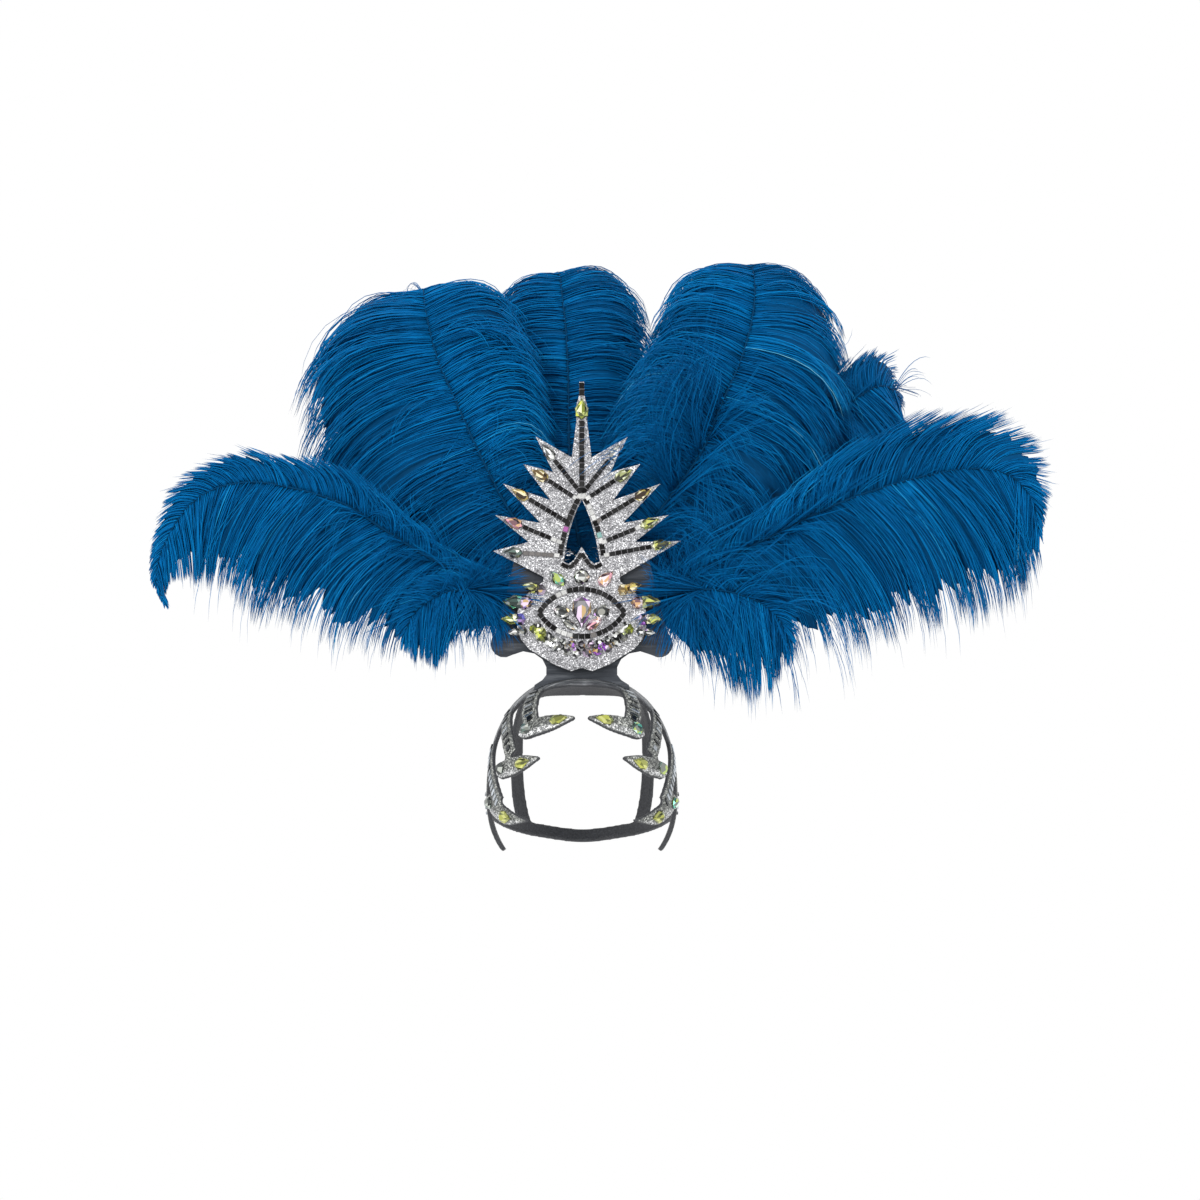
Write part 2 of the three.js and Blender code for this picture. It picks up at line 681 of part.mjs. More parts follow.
// Plumes: each row of a shaft is x, y, z and the length of the barbs on its two sides. Plus is the
// right side of a plume that points up, as the viewer in front sees it
const stem = (angle, y, gap = quill.gap) => {
  const a = THREE.MathUtils.degToRad(angle);
  return [gap, quill.straight].map((clear) => {
    const reach = pad.radius + clear;
    const [x, z] = [reach * Math.cos(a), pad.centreZ + reach * Math.sin(a)];
    return [x, y, z, quill.base + clear / 2, quill.base + clear / 2];
  });
};
const upright = { rise: 12, tipOnset: 10 };
const arched = { rise: 28, tipOnset: 6 };
const plumes = [
  {
    name: "plume_centre",
    stations: 15,
    slant: upright,
    camber: 0.25,
    rows: [
      ...stem(92, -3, 1.3),
      [-8, 18, 152, 74, 60],
      [-12, 48, 208, 104, 85],
      [-13, 70, 264, 114, 100],
      [-15, 82, 316, 114, 102],
      [-19, 91, 354, 105, 96],
      [-22, 106, 376, 92, 84],
      [-24, 126, 370, 60, 56],
      [-25, 138, 348, 30, 28],
    ],
  },
  {
    name: "plume_left_high",
    stations: 15,
    slant: upright,
    camber: 0.12,
    rows: [
      ...stem(125, -6),
      [-64, 4, 149, 55, 125],
      [-90, 9, 197.5, 90, 176],
      [-114, 13, 250, 112, 188],
      [-131, 17, 290, 120, 174],
      [-141, 24, 328, 112, 152],
      [-145, 38, 352, 92, 114],
      [-147, 56, 352, 56, 64],
      [-148, 70, 334, 26, 32],
    ],
  },
  {
    name: "plume_right_high",
    stations: 15,
    slant: upright,
    camber: 0.12,
    rows: [
      ...stem(51.6, -6),
      [77, 4, 160, 75, 80],
      [108, 9, 205, 112, 116],
      [127, 13, 250, 132, 126],
      [145, 17, 292, 132, 116],
      [155, 23, 331, 120, 112],
      [157, 34, 360, 102, 104],
      [154, 52, 377, 82, 86],
      [151, 72, 368, 48, 48],
      [149, 86, 344, 24, 22],
    ],
  },
  {
    name: "plume_left_low",
    stations: 15,
    slant: arched,
    camber: 0,
    rows: [
      ...stem(160, -12),
      [-120, -10, 100, 38, 100],
      [-173, -12, 131, 52, 130],
      [-212, -14, 156, 54, 140],
      [-260, -16, 171, 52, 124],
      [-300, -16, 176, 46, 104],
      [-340, -18, 164, 36, 80],
      [-368, -20, 130, 24, 44],
      [-380, -20, 92, 12, 24],
      [-373, -20, 68, 6, 8],
    ],
  },
  {
    name: "plume_right_low",
    stations: 15,
    slant: arched,
    camber: 0,
    rows: [
      ...stem(18, -12),
      [110, -10, 100, 100, 40],
      [176, -12, 131, 140, 66],
      [211, -14, 149, 150, 82],
      [250, -16, 165, 155, 100],
      [300, -16, 180, 150, 94],
      [348, -18, 188, 130, 70],
      [382, -20, 182, 90, 40],
      [402, -22, 160, 50, 20],
      [408, -24, 130, 18, 10],
    ],
  },
  {
    name: "plume_right_back",
    stations: 13,
    slant: upright,
    camber: 0,
    rows: [
      ...stem(35, -2),
      [85, 24, 125, 60, 40],
      [150, 42, 180, 100, 55],
      [210, 52, 228, 112, 58],
      [250, 58, 255, 104, 56],
      [274, 68, 268, 92, 48],
      [290, 86, 262, 66, 32],
      [296, 98, 244, 40, 16],
    ],
  },
  {
    name: "base_plume_right",
    stations: 11,
    slant: arched,
    camber: 0,
    rows: [
      ...stem(0, -24),
      [71, -24, 69, 84, 20],
      [107, -24, 80, 104, 32],
      [145, -25, 74, 100, 36],
      [172, -26, 58, 66, 28],
      [184, -26, 38, 24, 14],
    ],
  },
  {
    name: "base_plume_left",
    stations: 11,
    slant: arched,
    camber: 0,
    rows: [
      ...stem(180, -24),
      [-71, -24, 69, 20, 48],
      [-98, -24, 80, 32, 72],
      [-126, -25, 75, 32, 68],
      [-148, -26, 60, 24, 48],
      [-158, -26, 42, 12, 18],
    ],
  },
];

const back = new THREE.Vector3(0, 1, 0);
const down = new THREE.Vector3(0, 0.12, -1).normalize();
const smoothstep = (x) => x * x * (3 - 2 * x);

// The line of one barb: it leaves the shaft at a slant towards the tip and turns over towards the
// ground, or along the shaft where it starts out upwards
function barbLine(root, along, across, side, length, share, { slant, camber }) {
  const degrees = slant.rise + (barb.tipRise - slant.rise) * share ** slant.tipOnset;
  const rise = THREE.MathUtils.degToRad(degrees);
  const start = across
    .clone()
    .multiplyScalar(side * Math.cos(rise))
    .addScaledVector(along, Math.sin(rise))
    .addScaledVector(back, camber)
    .normalize();
  const climb = Math.max(0, -start.dot(down) - barb.upright);
  const target = down.clone().addScaledVector(along, barb.lift * climb).normalize();
  const points = [root.clone()];
  for (let k = 0; k < vane.steps; k++) {
    const turned = barb.droop * ((k + 0.5) / vane.steps) ** barb.bend;
    const heading = start.clone().lerp(target, turned).normalize();
    const short = Math.max(0, barb.clearance - side * heading.dot(across));
    heading.addScaledVector(across, side * short).normalize();
    points.push(points[k].clone().addScaledVector(heading, length / vane.steps));
  }
  return points;
}

// One plume as a closed vane: a thick shaft down its middle and toothed locks along both sides
function plumeSolid(plume) {
  const { rows, stations } = plume;
  const shaft = new THREE.CatmullRomCurve3(rows.map(([x, y, z]) => new THREE.Vector3(x, y, z)));
  const lengths = new THREE.CatmullRomCurve3(
    rows.map((row) => new THREE.Vector3(row[3], row[4], 0)),
  );
  const front = new THREE.Vector3(0, -1, 0);
  let across = shaft.getTangentAt(0).cross(front).normalize();
  const grid = [];
  for (let i = 0; i < stations; i++) {
    const share = i / (stations - 1);
    const t = shaft.getUtoTmapping(share);
    const root = shaft.getPoint(t);
    const along = shaft.getTangent(t);
    across = across.clone().projectOnPlane(along).normalize();
    const tooth = i % 2 && i < stations - 1 ? vane.notch : 1;
    const reach = lengths.getPoint(t);
    const [plus, minus] = [[1, reach.x], [-1, reach.y]].map(([side, length]) =>
      barbLine(root, along, across, side, Math.max(quill.base, length * tooth), share, plume),
    );
    grid.push([...minus.slice(1).reverse(), ...plus]);
  }
  return thicken(grid);
}

// A closed body around a grid of points, thickest at its middle column
function thicken(grid) {
  const [rows, columns] = [grid.length, grid[0].length];
  const middle = (columns - 1) / 2;
  const { clamp } = THREE.MathUtils;
  const at = (i, j) => grid[clamp(i, 0, rows - 1)][clamp(j, 0, columns - 1)];
  const faces = [1, -1].map((side) =>
    grid.flatMap((row, i) =>
      row.map((point, j) => {
        const alongRow = at(i, j + 1).clone().sub(at(i, j - 1));
        const alongColumn = at(i + 1, j).clone().sub(at(i - 1, j));
        const normal = alongRow.cross(alongColumn).normalize();
        const shaft = THREE.MathUtils.lerp(quill.base, quill.tip, smoothstep(i / (rows - 1)));
        const half = j === middle ? shaft : vane.thickness / 2;
        return point.clone().addScaledVector(normal, side * half);
      }),
    ),
  );
  const size = rows * columns;
  const triangles = [];
  for (let i = 0; i + 1 < rows; i++)
    for (let j = 0; j + 1 < columns; j++) {
      const a = i * columns + j;
      const [b, c, d] = [a + 1, a + columns + 1, a + columns];
      triangles.push([a, b, c], [a, c, d]);
      triangles.push([a + size, c + size, b + size], [a + size, d + size, c + size]);
    }
  const edge = [];
  for (let j = 0; j < columns - 1; j++) edge.push(j);
  for (let i = 0; i < rows - 1; i++) edge.push(i * columns + columns - 1);
  for (let j = columns - 1; j > 0; j--) edge.push((rows - 1) * columns + j);
  for (let i = rows - 1; i > 0; i--) edge.push(i * columns);
  edge.forEach((a, k) => {
    const b = edge[(k + 1) % edge.length];
    triangles.push([b, a, a + size], [b, a + size, b + size]);
  });
  return closedMesh(faces.flat(), triangles);
}

for (const plume of plumes) addPiece(plume.name, plumeSolid(plume), plumeBlue);

export default model;
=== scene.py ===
import bmesh
import bpy
import numpy as np
from mathutils import Matrix


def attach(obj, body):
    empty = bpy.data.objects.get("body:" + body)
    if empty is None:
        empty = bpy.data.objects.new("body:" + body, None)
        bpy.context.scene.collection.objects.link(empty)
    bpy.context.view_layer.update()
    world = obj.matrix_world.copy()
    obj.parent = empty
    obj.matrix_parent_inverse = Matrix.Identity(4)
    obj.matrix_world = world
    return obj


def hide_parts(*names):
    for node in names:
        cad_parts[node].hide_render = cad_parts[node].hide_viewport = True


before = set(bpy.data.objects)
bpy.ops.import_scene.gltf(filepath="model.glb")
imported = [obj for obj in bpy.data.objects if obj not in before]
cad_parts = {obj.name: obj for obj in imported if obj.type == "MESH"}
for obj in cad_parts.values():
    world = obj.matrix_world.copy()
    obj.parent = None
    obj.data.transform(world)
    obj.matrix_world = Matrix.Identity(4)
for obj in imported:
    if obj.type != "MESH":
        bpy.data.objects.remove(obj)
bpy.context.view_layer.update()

MM = 0.001
FRONT = np.array([0.0, -1.0, 0.0])
BACK = -FRONT
SIDES = {"left": -1, "right": 1}


# Shared shapes
def unit(vectors):
    """Each vector divided by its own length."""
    return vectors / np.maximum(np.linalg.norm(vectors, axis=-1, keepdims=True), 1e-12)


def dot(a, b):
    """The dot products of two arrays of vectors, kept as a last axis of one."""
    return np.sum(a * b, axis=-1, keepdims=True)


def smooth_line(points, at):
    """A centripetal Catmull-Rom line through the points, read at shares from 0 to 1. A span's end
    tangents weigh the chords on both sides by the roots of their lengths, and a cubic joins them."""
    points = np.asarray(points, float)
    points = np.vstack([2 * points[0] - points[1], points, 2 * points[-1] - points[-2]])
    spans = len(points) - 3
    place = np.clip(at, 0, 1) * spans
    span = np.minimum(place.astype(int), spans - 1)
    t = (place - span)[:, None]
    p0, p1, p2, p3 = (points[span + k] for k in range(4))
    d0, d1, d2 = (
        np.sqrt(np.maximum(np.linalg.norm(b - a, axis=1), 1e-7))[:, None]
        for a, b in ((p0, p1), (p1, p2), (p2, p3))
    )
    start = d1 * ((p1 - p0) / d0 - (p2 - p0) / (d0 + d1) + (p2 - p1) / d1)
    end = d1 * ((p2 - p1) / d1 - (p3 - p1) / (d1 + d2) + (p3 - p2) / d2)
    blend = t * t * (3 - 2 * t)
    return p1 + (p2 - p1) * blend + start * t * (1 - t) ** 2 - end * t * t * (1 - t)


def grid_faces(rows, columns, wrap=False):
    """The two triangles of each cell of a grid whose points run row after row; wrap joins the last
    column to the first."""
    i, j = np.meshgrid(np.arange(rows - 1), np.arange(columns - (not wrap)), indexing="ij")
    a, b = i * columns + j, i * columns + (j + 1) % columns
    cells = np.stack([a, b, b + columns, a, b + columns, a + columns], axis=-1)
    return cells.reshape(-1, 3)


def fan_faces(ring):
    """A flat fan of triangles that closes a ring of point numbers."""
    first = np.full(len(ring) - 2, ring[0])
    return np.stack([first, ring[1:-1], ring[2:]], axis=-1)


def outward(points, faces):
    """The faces, turned round if the volume that they enclose comes out negative."""
    a, b, c = (points[faces[:, k]] for k in range(3))
    return faces if np.sum(a * np.cross(b, c)) > 0 else faces[:, ::-1]


def loft(rings):
    """A closed body through rings of equally many points: a grid that wraps round, with a flat fan
    over its first and its last ring."""
    rings = np.asarray(rings, float)
    count, sides = rings.shape[:2]
    points = rings.reshape(-1, 3)
    first = np.arange(sides)
    ends = [fan_faces(first[::-1]), fan_faces(first + (count - 1) * sides)]
    faces = np.vstack([grid_faces(count, sides, wrap=True), *ends])
    return {"points": points, "faces": outward(points, faces)}


def shell(grid, thickness):
    """A grid of points as a closed sheet: its two faces stand half the thickness off the grid along
    the normal, and each row runs over the front face and home along the back one."""
    normal = unit(np.cross(np.gradient(grid, axis=1), np.gradient(grid, axis=0)))
    front, rear = (grid + side * normal * thickness / 2 for side in (1, -1))
    rings = np.concatenate([front, rear[:, ::-1]], axis=1)
    count, around = rings.shape[:2]
    columns = grid.shape[1]
    top = np.arange(columns)
    strips = []
    for row, order in ((0, -1), (count - 1, 1)):
        near, far = row * around + top, row * around + around - 1 - top
        strip = np.stack([near[:-1], far[:-1], far[1:], near[:-1], far[1:], near[1:]], axis=-1)
        strips.append(strip.reshape(-1, 3)[:, ::order])
    points = rings.reshape(-1, 3)
    faces = np.vstack([grid_faces(count, around, wrap=True), *strips])
    return {"points": points, "faces": outward(points, faces)}


def turns(count):
    """The angles of a full turn in equal steps."""
    return np.linspace(0, 2 * np.pi, count, endpoint=False)


def run_along(line):
    """How far along a line each of its points lies."""
    return np.concatenate([[0], np.cumsum(np.linalg.norm(np.diff(line, axis=0), axis=1))])


def joined(bodies):
    """Several bodies as one: their arrays end to end, each body's faces moved on past the points
    before it."""
    starts = np.cumsum([0] + [len(body["points"]) for body in bodies])
    whole = {key: np.concatenate([body[key] for body in bodies]) for key in bodies[0]}
    whole["faces"] = np.concatenate([body["faces"] + start for body, start in zip(bodies, starts)])
    return whole


def linked(name, data):
    """A new object that holds the data, linked to the scene."""
    item = bpy.data.objects.new(name, data)
    bpy.context.scene.collection.objects.link(item)
    return item


def let_ride(piece, nodes):
    """Lets a piece ride with the headdress, in place of its nodes."""
    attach(piece, "root")
    if nodes:
        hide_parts(*nodes)


def make_piece(name, body, material, nodes=(), smooth=True):
    """Puts a body into a mesh of its own and lets it ride. Its strand becomes a UV map, its facet a
    tint for each face, its sweep a vector and every other value a number for each point."""
    points, faces = body["points"], body["faces"]
    mesh = bpy.data.meshes.new(name)
    mesh.vertices.add(len(points))
    mesh.vertices.foreach_set("co", points.astype(np.float32).ravel())
    mesh.loops.add(faces.size)
    mesh.loops.foreach_set("vertex_index", faces.astype(np.int32).ravel())
    mesh.polygons.add(len(faces))
    mesh.polygons.foreach_set("loop_start", np.arange(0, faces.size, 3, dtype=np.int32))
    mesh.update(calc_edges=True)
    mesh.polygons.foreach_set("use_smooth", np.full(len(faces), smooth))
    for key in [key for key in body if key not in ("points", "faces")]:
        values = body[key].astype(np.float32)
        if key == "strand":
            mesh.uv_layers.new(name=key).data.foreach_set("uv", values[faces.ravel()].ravel())
            continue
        kind, domain, field = {
            "facet": ("FLOAT_COLOR", "FACE", "color"),
            "sweep": ("FLOAT_VECTOR", "POINT", "vector"),
        }.get(key, ("FLOAT", "POINT", "value"))
        mesh.attributes.new(key, kind, domain).data.foreach_set(field, values.ravel())
    mesh.materials.append(material)
    let_ride(linked(name, mesh), nodes)


# Materials
def srgb(red, green, blue):
    """A screen colour from 0 to 255 as linear light."""
    share = np.array([red, green, blue]) / 255
    linear = np.where(share <= 0.04045, share / 12.92, ((share + 0.055) / 1.055) ** 2.4)
    return (*linear, 1.0)


def feed(tree, source, socket):
    """Links another node's output to a socket, or sets the socket to a plain value."""
    if isinstance(source, bpy.types.NodeSocket):
        tree.links.new(source, socket)
    else:
        socket.default_value = source


def node(tree, kind, output, inputs=(), **settings):
    """Adds a node, sets its settings, feeds its inputs and gives one of its outputs."""
    made = tree.nodes.new(f"ShaderNode{kind}")
    for key, value in settings.items():
        setattr(made, key, value)
    for key, source in dict(inputs).items():
        feed(tree, source, made.inputs[key])
    return made.outputs[output]


def new_material(name, finish):
    """A material, its nodes and its shader's inputs, with the shader's plain values set."""
    material = bpy.data.materials.new(name)
    material.use_nodes = True
    shader = material.node_tree.nodes["Principled BSDF"].inputs
    for key, value in finish.items():
        shader[key].default_value = value
    return material, material.node_tree, shader


def value_of(tree, name, output="Fac"):
    return node(tree, "Attribute", output, attribute_name=name)


def stretched(tree, place, scale):
    return node(tree, "Mapping", "Vector", {"Vector": place, "Scale": scale})


def noise(tree, place, scale, detail=2.0, roughness=0.5):
    inputs = {"Vector": place, "Scale": scale, "Detail": detail, "Roughness": roughness}
    return node(tree, "TexNoise", "Fac", inputs)


def maths(tree, kind, first, second):
    return node(tree, "Math", "Value", {0: first, 1: second}, operation=kind)


def mixed(tree, share, first, second, kind="MIX"):
    inputs = {0: share, 6: first, 7: second}
    return node(tree, "Mix", 2, inputs, data_type="RGBA", blend_type=kind)


def ramp(tree, value, stops):
    """Colours along a value from 0 to 1: a stop is its place, red, green and blue."""
    colour = node(tree, "ValToRGB", "Color", {"Fac": value})
    elements = colour.node.color_ramp.elements
    while len(elements) < len(stops):
        elements.new(0.5)
    for element, (place, *screen) in zip(elements, stops):
        element.position = place
        element.color = srgb(*screen)
    return colour


def bumped(tree, shader, height, strength, depth):
    inputs = {"Height": height, "Strength": strength, "Distance": depth}
    feed(tree, node(tree, "Bump", "Normal", inputs), shader["Normal"])


def plume_material():
    """Dyed feather: the tone of each barb sets how light its blue is, with finer streaks along it."""
    finish = {"Roughness": 0.55, "Specular IOR Level": 0.18, "Specular Tint": srgb(120, 200, 240)}
    material, tree, shader = new_material("dyed_plume", finish)
    along = stretched(tree, node(tree, "TexCoord", "UV"), scale=(1400, 9, 1))
    streak = maths(tree, "MULTIPLY", noise(tree, along, scale=1.0, detail=3.0), 0.3)
    tone = maths(tree, "SUBTRACT", maths(tree, "ADD", value_of(tree, "tone"), streak), 0.15)
    stops = [
        (0.05, 0, 46, 80),
        (0.4, 0, 87, 145),
        (0.68, 2, 112, 174),
        (0.9, 34, 142, 194),
        (1.0, 104, 182, 214),
    ]
    feed(tree, ramp(tree, tone, stops), shader["Base Color"])
    return material


def glitter(tree, place, scale, stops):
    """Loose glitter: each small cell of the surface has its own random grey, and broad patches are a
    little lighter or darker."""
    cells = node(tree, "TexVoronoi", "Color", {"Vector": place, "Scale": scale})
    flakes = node(tree, "SeparateColor", "Red", {"Color": cells})
    patch = maths(tree, "SUBTRACT", noise(tree, place, scale / 14), 0.5)
    value = maths(tree, "ADD", flakes, maths(tree, "MULTIPLY", patch, 0.5))
    return ramp(tree, value, stops), flakes


def silver_material():
    """Silver glitter cloth on the faces of a plate, and dark foam at its cut edge and back."""
    finish = {"Roughness": 0.42, "Metallic": 0.35}
    material, tree, shader = new_material("silver_glitter_cloth", finish)
    stops = [(0.0, 70, 70, 73), (0.3, 118, 118, 121), (0.78, 172, 172, 175), (0.94, 248, 248, 250)]
    cloth, flakes = glitter(tree, node(tree, "TexCoord", "Object"), 1250, stops)
    normal = node(tree, "NewGeometry", "True Normal")
    front = maths(tree, "LESS_THAN", node(tree, "SeparateXYZ", "Y", {"Vector": normal}), -0.35)
    feed(tree, mixed(tree, front, srgb(62, 64, 70), cloth), shader["Base Color"])
    bumped(tree, shader, flakes, strength=0.35, depth=0.6 * MM)
    return material


def foam_material():
    """Dark craft foam, rubbed with glue: a fine grain, and paler strokes across it."""
    finish = {"Roughness": 0.72, "Specular IOR Level": 0.3}
    material, tree, shader = new_material("brushed_dark_foam", finish)
    place = node(tree, "TexCoord", "Object")
    along = stretched(tree, place, scale=(26, 420, 300))
    strokes = noise(tree, along, scale=1.0, detail=4.0, roughness=0.65)
    stops = [(0.35, 38, 42, 48), (0.55, 57, 61, 67), (0.78, 94, 97, 102)]
    feed(tree, ramp(tree, strokes, stops), shader["Base Color"])
    relief = maths(tree, "ADD", strokes, noise(tree, place, scale=900))
    bumped(tree, shader, relief, strength=0.35, depth=0.5 * MM)
    return material


def cap_material():
    """The cap's faces: grey glitter cloth with a silver lower rim on the boots, inside a narrow dark
    edge, strokes of glue that follow the arch, and bare dark foam inside."""
    finish = {"Roughness": 0.5, "Metallic": 0.15}
    material, tree, shader = new_material("cap_glitter_cloth", finish)
    place = node(tree, "TexCoord", "Object")
    grey = [(0.05, 40, 42, 42), (0.4, 86, 88, 86), (0.8, 128, 130, 126), (0.96, 194, 196, 190)]
    silver = [(0.1, 84, 86, 86), (0.5, 140, 142, 142), (0.92, 232, 232, 232)]
    glue = [(0.38, 46, 48, 52), (0.48, 84, 87, 91), (0.57, 122, 125, 128), (0.67, 206, 208, 210)]
    bare = [(0.3, 34, 35, 39), (0.7, 58, 60, 64)]
    cloth, flakes = glitter(tree, place, 1000, grey)
    cloth = mixed(tree, value_of(tree, "sparkle"), cloth, ramp(tree, flakes, silver))
    sweep = value_of(tree, "sweep", "Vector")
    strokes = noise(tree, sweep, scale=1.0, detail=4.0, roughness=0.7)
    face = mixed(tree, value_of(tree, "brushed"), cloth, ramp(tree, strokes, glue))
    edge = ramp(tree, noise(tree, place, scale=700, detail=3.0), bare)
    feed(tree, mixed(tree, value_of(tree, "cloth"), edge, face), shader["Base Color"])
    bumped(tree, shader, maths(tree, "ADD", flakes, strokes), strength=0.3, depth=0.6 * MM)
    return material


def crystal_material():
    """Foil-backed cut glass: each facet's tint is a painted reflection, the light that its foil throws
    back.
    """
    finish = {"Roughness": 0.08, "Metallic": 0.7, "Coat Weight": 0.35, "Coat Roughness": 0.02}
    material, tree, shader = new_material("cut_glass", finish)
    feed(tree, value_of(tree, "facet", "Color"), shader["Base Color"])
    return material


def mirror_material():
    """Small mirror tiles: each has the tint that its own tilt picks up, with scuffs on the glass."""
    material, tree, shader = new_material("mirror_tile", {"Roughness": 0.12, "Metallic": 0.85})
    scuffs = noise(tree, node(tree, "TexCoord", "Object"), scale=900, detail=3.0)
    limits = {"Value": scuffs, "From Min": 0.3, "From Max": 0.7, "To Min": 0.75, "To Max": 1.0}
    shade = node(tree, "MapRange", "Result", limits)
    tint = mixed(tree, 1.0, value_of(tree, "facet", "Color"), shade, "MULTIPLY")
    feed(tree, tint, shader["Base Color"])
    return material


# Plumes. A shaft's quill, the pad that holds it, and a barb: its rise at the shaft's tip, how far it
# droops and how late, how far a steep one keeps to the shaft, its least lean away from the shaft, its
# taper and ridge, how far barbs lie apart in depth, and its number of straight steps
QUILL = {"base": 2.4, "tip": 0.55, "gap": 0.5, "straight": 16, "slim": 0.9, "in_front": 1.3}
PAD = {"radius": 40, "centre_z": 62, "front_y": -28.7, "depth": 30, "rim": 5}
BARB = {
    "tip_rise": 80, "droop": 0.85, "bend": 1.3, "lift": 2.2, "upright": 0.5, "clearance": 0.18,
    "taper": 0.6, "ridge": 0.8, "depth": 1.1, "steps": 8,
}
# How clumps of barbs differ, how each barb differs from its clump, and what a long wisp is like. A
# wander is its number of knots along the shaft and its size
CLUMP = {
    "width": 3.4, "blur": 0.4, "pull": (0.45, 0.18), "sway": 1.0,
    "rise": 1.5, "rise_wander": (26, 2.0), "lean": 0.05, "lean_wander": (40, 0.05),
    "reach": 1.02, "short": 0.05, "reach_wander": (34, 0.03),
    "droop": 0.05, "tone": 0.06, "tone_wander": (18, 0.05),
}
OWN = {"short": 0.1, "rise": 2.5, "lean": 0.05, "droop": 0.04, "tone": 0.08, "roll": 0.55}
WISP = {"share": 0.05, "longest": 1.2, "droop": 0.08, "pull": 0.1, "thinner": 0.4}
# Tufts of loose fluff, and how each strand differs from its tuft
TUFT = {"strands": 6, "tone": 0.05, "sway": 2.5}
FLUFF = {
    "place": 0.004, "short": 0.15, "rise": 7, "lean": 0.08, "droop": 0.05, "tone": 0.06, "roll": 0.8,
}
VANE = {"rows": 120, "short": 0.78, "long": 1.06, "wander": (40, 0.03), "behind": 1.2, "thick": 0.5}
DOWN = unit(np.array([0.0, 0.12, -1.0]))
STATIONS = 240
OUT = np.linspace(0, 1, BARB["steps"] + 1)[:, None]  # each point's share of its barb


def stem(angle, y, gap=QUILL["gap"]):
    """Two rows for the bare quill: it leaves the pad's rim along the rim's own radius."""
    a = np.radians(angle)
    rows = []
    for clear in (gap, QUILL["straight"]):
        reach = PAD["radius"] + clear
        bare = QUILL["base"] + clear / 2
        rows.append([reach * np.cos(a), y, PAD["centre_z"] + reach * np.sin(a), bare, bare])
    return rows


# A shaft's rows are x, y, z and the length of the barbs on its plus and minus side. A slant is the
# rise of the barbs off the shaft's root in degrees, and how late they swing up towards its tip.
# Camber leans the barbs back, barbs is their number on each side, sheet is the share of their length
# that the sheet under them has, and ragged is how uneven their ends are
UPRIGHT = (12, 10)
ARCHED = (28, 6)
PLUMES = {
    "plume_centre": {
        "slant": UPRIGHT, "camber": 0.25, "barbs": 860, "sheet": 0.86, "ragged": 0.5,
        "rows": [
            *stem(92, -3, 1.3),
            [-8, 18, 152, 74, 60], [-12, 48, 208, 104, 85], [-13, 70, 264, 114, 100],
            [-15, 82, 316, 114, 102], [-19, 91, 354, 105, 96], [-22, 106, 376, 92, 84],
            [-24, 126, 370, 60, 56], [-25, 138, 348, 30, 28],
        ],
    },
    "plume_left_high": {
        "slant": UPRIGHT, "camber": 0.12, "barbs": 1090, "sheet": 0.86, "ragged": 0.7,
        "rows": [
            *stem(125, -6),
            [-64, 4, 149, 55, 125], [-90, 9, 197.5, 90, 176], [-114, 13, 250, 112, 188],
            [-131, 17, 290, 120, 174], [-141, 24, 328, 112, 152], [-145, 38, 352, 92, 114],
            [-147, 56, 352, 56, 64], [-148, 70, 334, 26, 32],
        ],
    },
    "plume_right_high": {
        "slant": UPRIGHT, "camber": 0.12, "barbs": 1090, "sheet": 0.86, "ragged": 0.7,
        "rows": [
            *stem(51.6, -6),
            [77, 4, 160, 75, 80], [108, 9, 205, 112, 116], [127, 13, 250, 132, 126],
            [145, 17, 292, 132, 116], [155, 23, 331, 120, 112], [157, 34, 360, 102, 104],
            [154, 52, 377, 82, 86], [151, 72, 368, 48, 48], [149, 86, 344, 24, 22],
        ],
    },
    "plume_left_low": {
        "slant": ARCHED, "camber": 0.0, "barbs": 1000, "sheet": 0.74, "ragged": 1.0,
        "rows": [
            *stem(160, -12),
            [-120, -10, 100, 38, 100], [-173, -12, 131, 52, 130], [-212, -14, 156, 54, 140],
            [-260, -16, 171, 52, 124], [-300, -16, 176, 46, 104], [-340, -18, 164, 36, 80],
            [-368, -20, 130, 24, 44], [-380, -20, 92, 12, 24], [-373, -20, 68, 6, 8],
        ],
    },
    "plume_right_low": {
        "slant": ARCHED, "camber": 0.0, "barbs": 1090, "sheet": 0.74, "ragged": 1.0,
        "rows": [
            *stem(18, -12),
            [110, -10, 100, 100, 40], [176, -12, 131, 140, 66], [211, -14, 149, 150, 82],
            [250, -16, 165, 155, 100], [300, -16, 180, 150, 94], [348, -18, 188, 130, 70],
            [382, -20, 182, 90, 40], [402, -22, 160, 50, 20], [408, -24, 130, 18, 10],
        ],
    },
    "plume_right_back": {
        "slant": UPRIGHT, "camber": 0.0, "barbs": 620, "sheet": 0.8, "ragged": 0.8,
        "rows": [
            *stem(35, -2),
            [85, 24, 125, 60, 40], [150, 42, 180, 100, 55], [210, 52, 228, 112, 58],
            [250, 58, 255, 104, 56], [274, 68, 268, 92, 48], [290, 86, 262, 66, 32],
            [296, 98, 244, 40, 16],
        ],
    },
    "base_plume_right": {
        "slant": ARCHED, "camber": 0.0, "barbs": 460, "sheet": 0.66, "ragged": 1.1,
        "rows": [
            *stem(0, -24),
            [71, -24, 69, 84, 20], [107, -24, 80, 104, 32], [145, -25, 74, 100, 36],
            [172, -26, 58, 66, 28], [184, -26, 38, 24, 14],
        ],
    },
    "base_plume_left": {
        "slant": ARCHED, "camber": 0.0, "barbs": 420, "sheet": 0.66, "ragged": 1.1,
        "rows": [
            *stem(180, -24),
            [-71, -24, 69, 20, 48], [-98, -24, 80, 32, 72], [-126, -25, 75, 32, 68],
            [-148, -26, 60, 24, 48], [-158, -26, 42, 12, 18],
        ],
    },
}


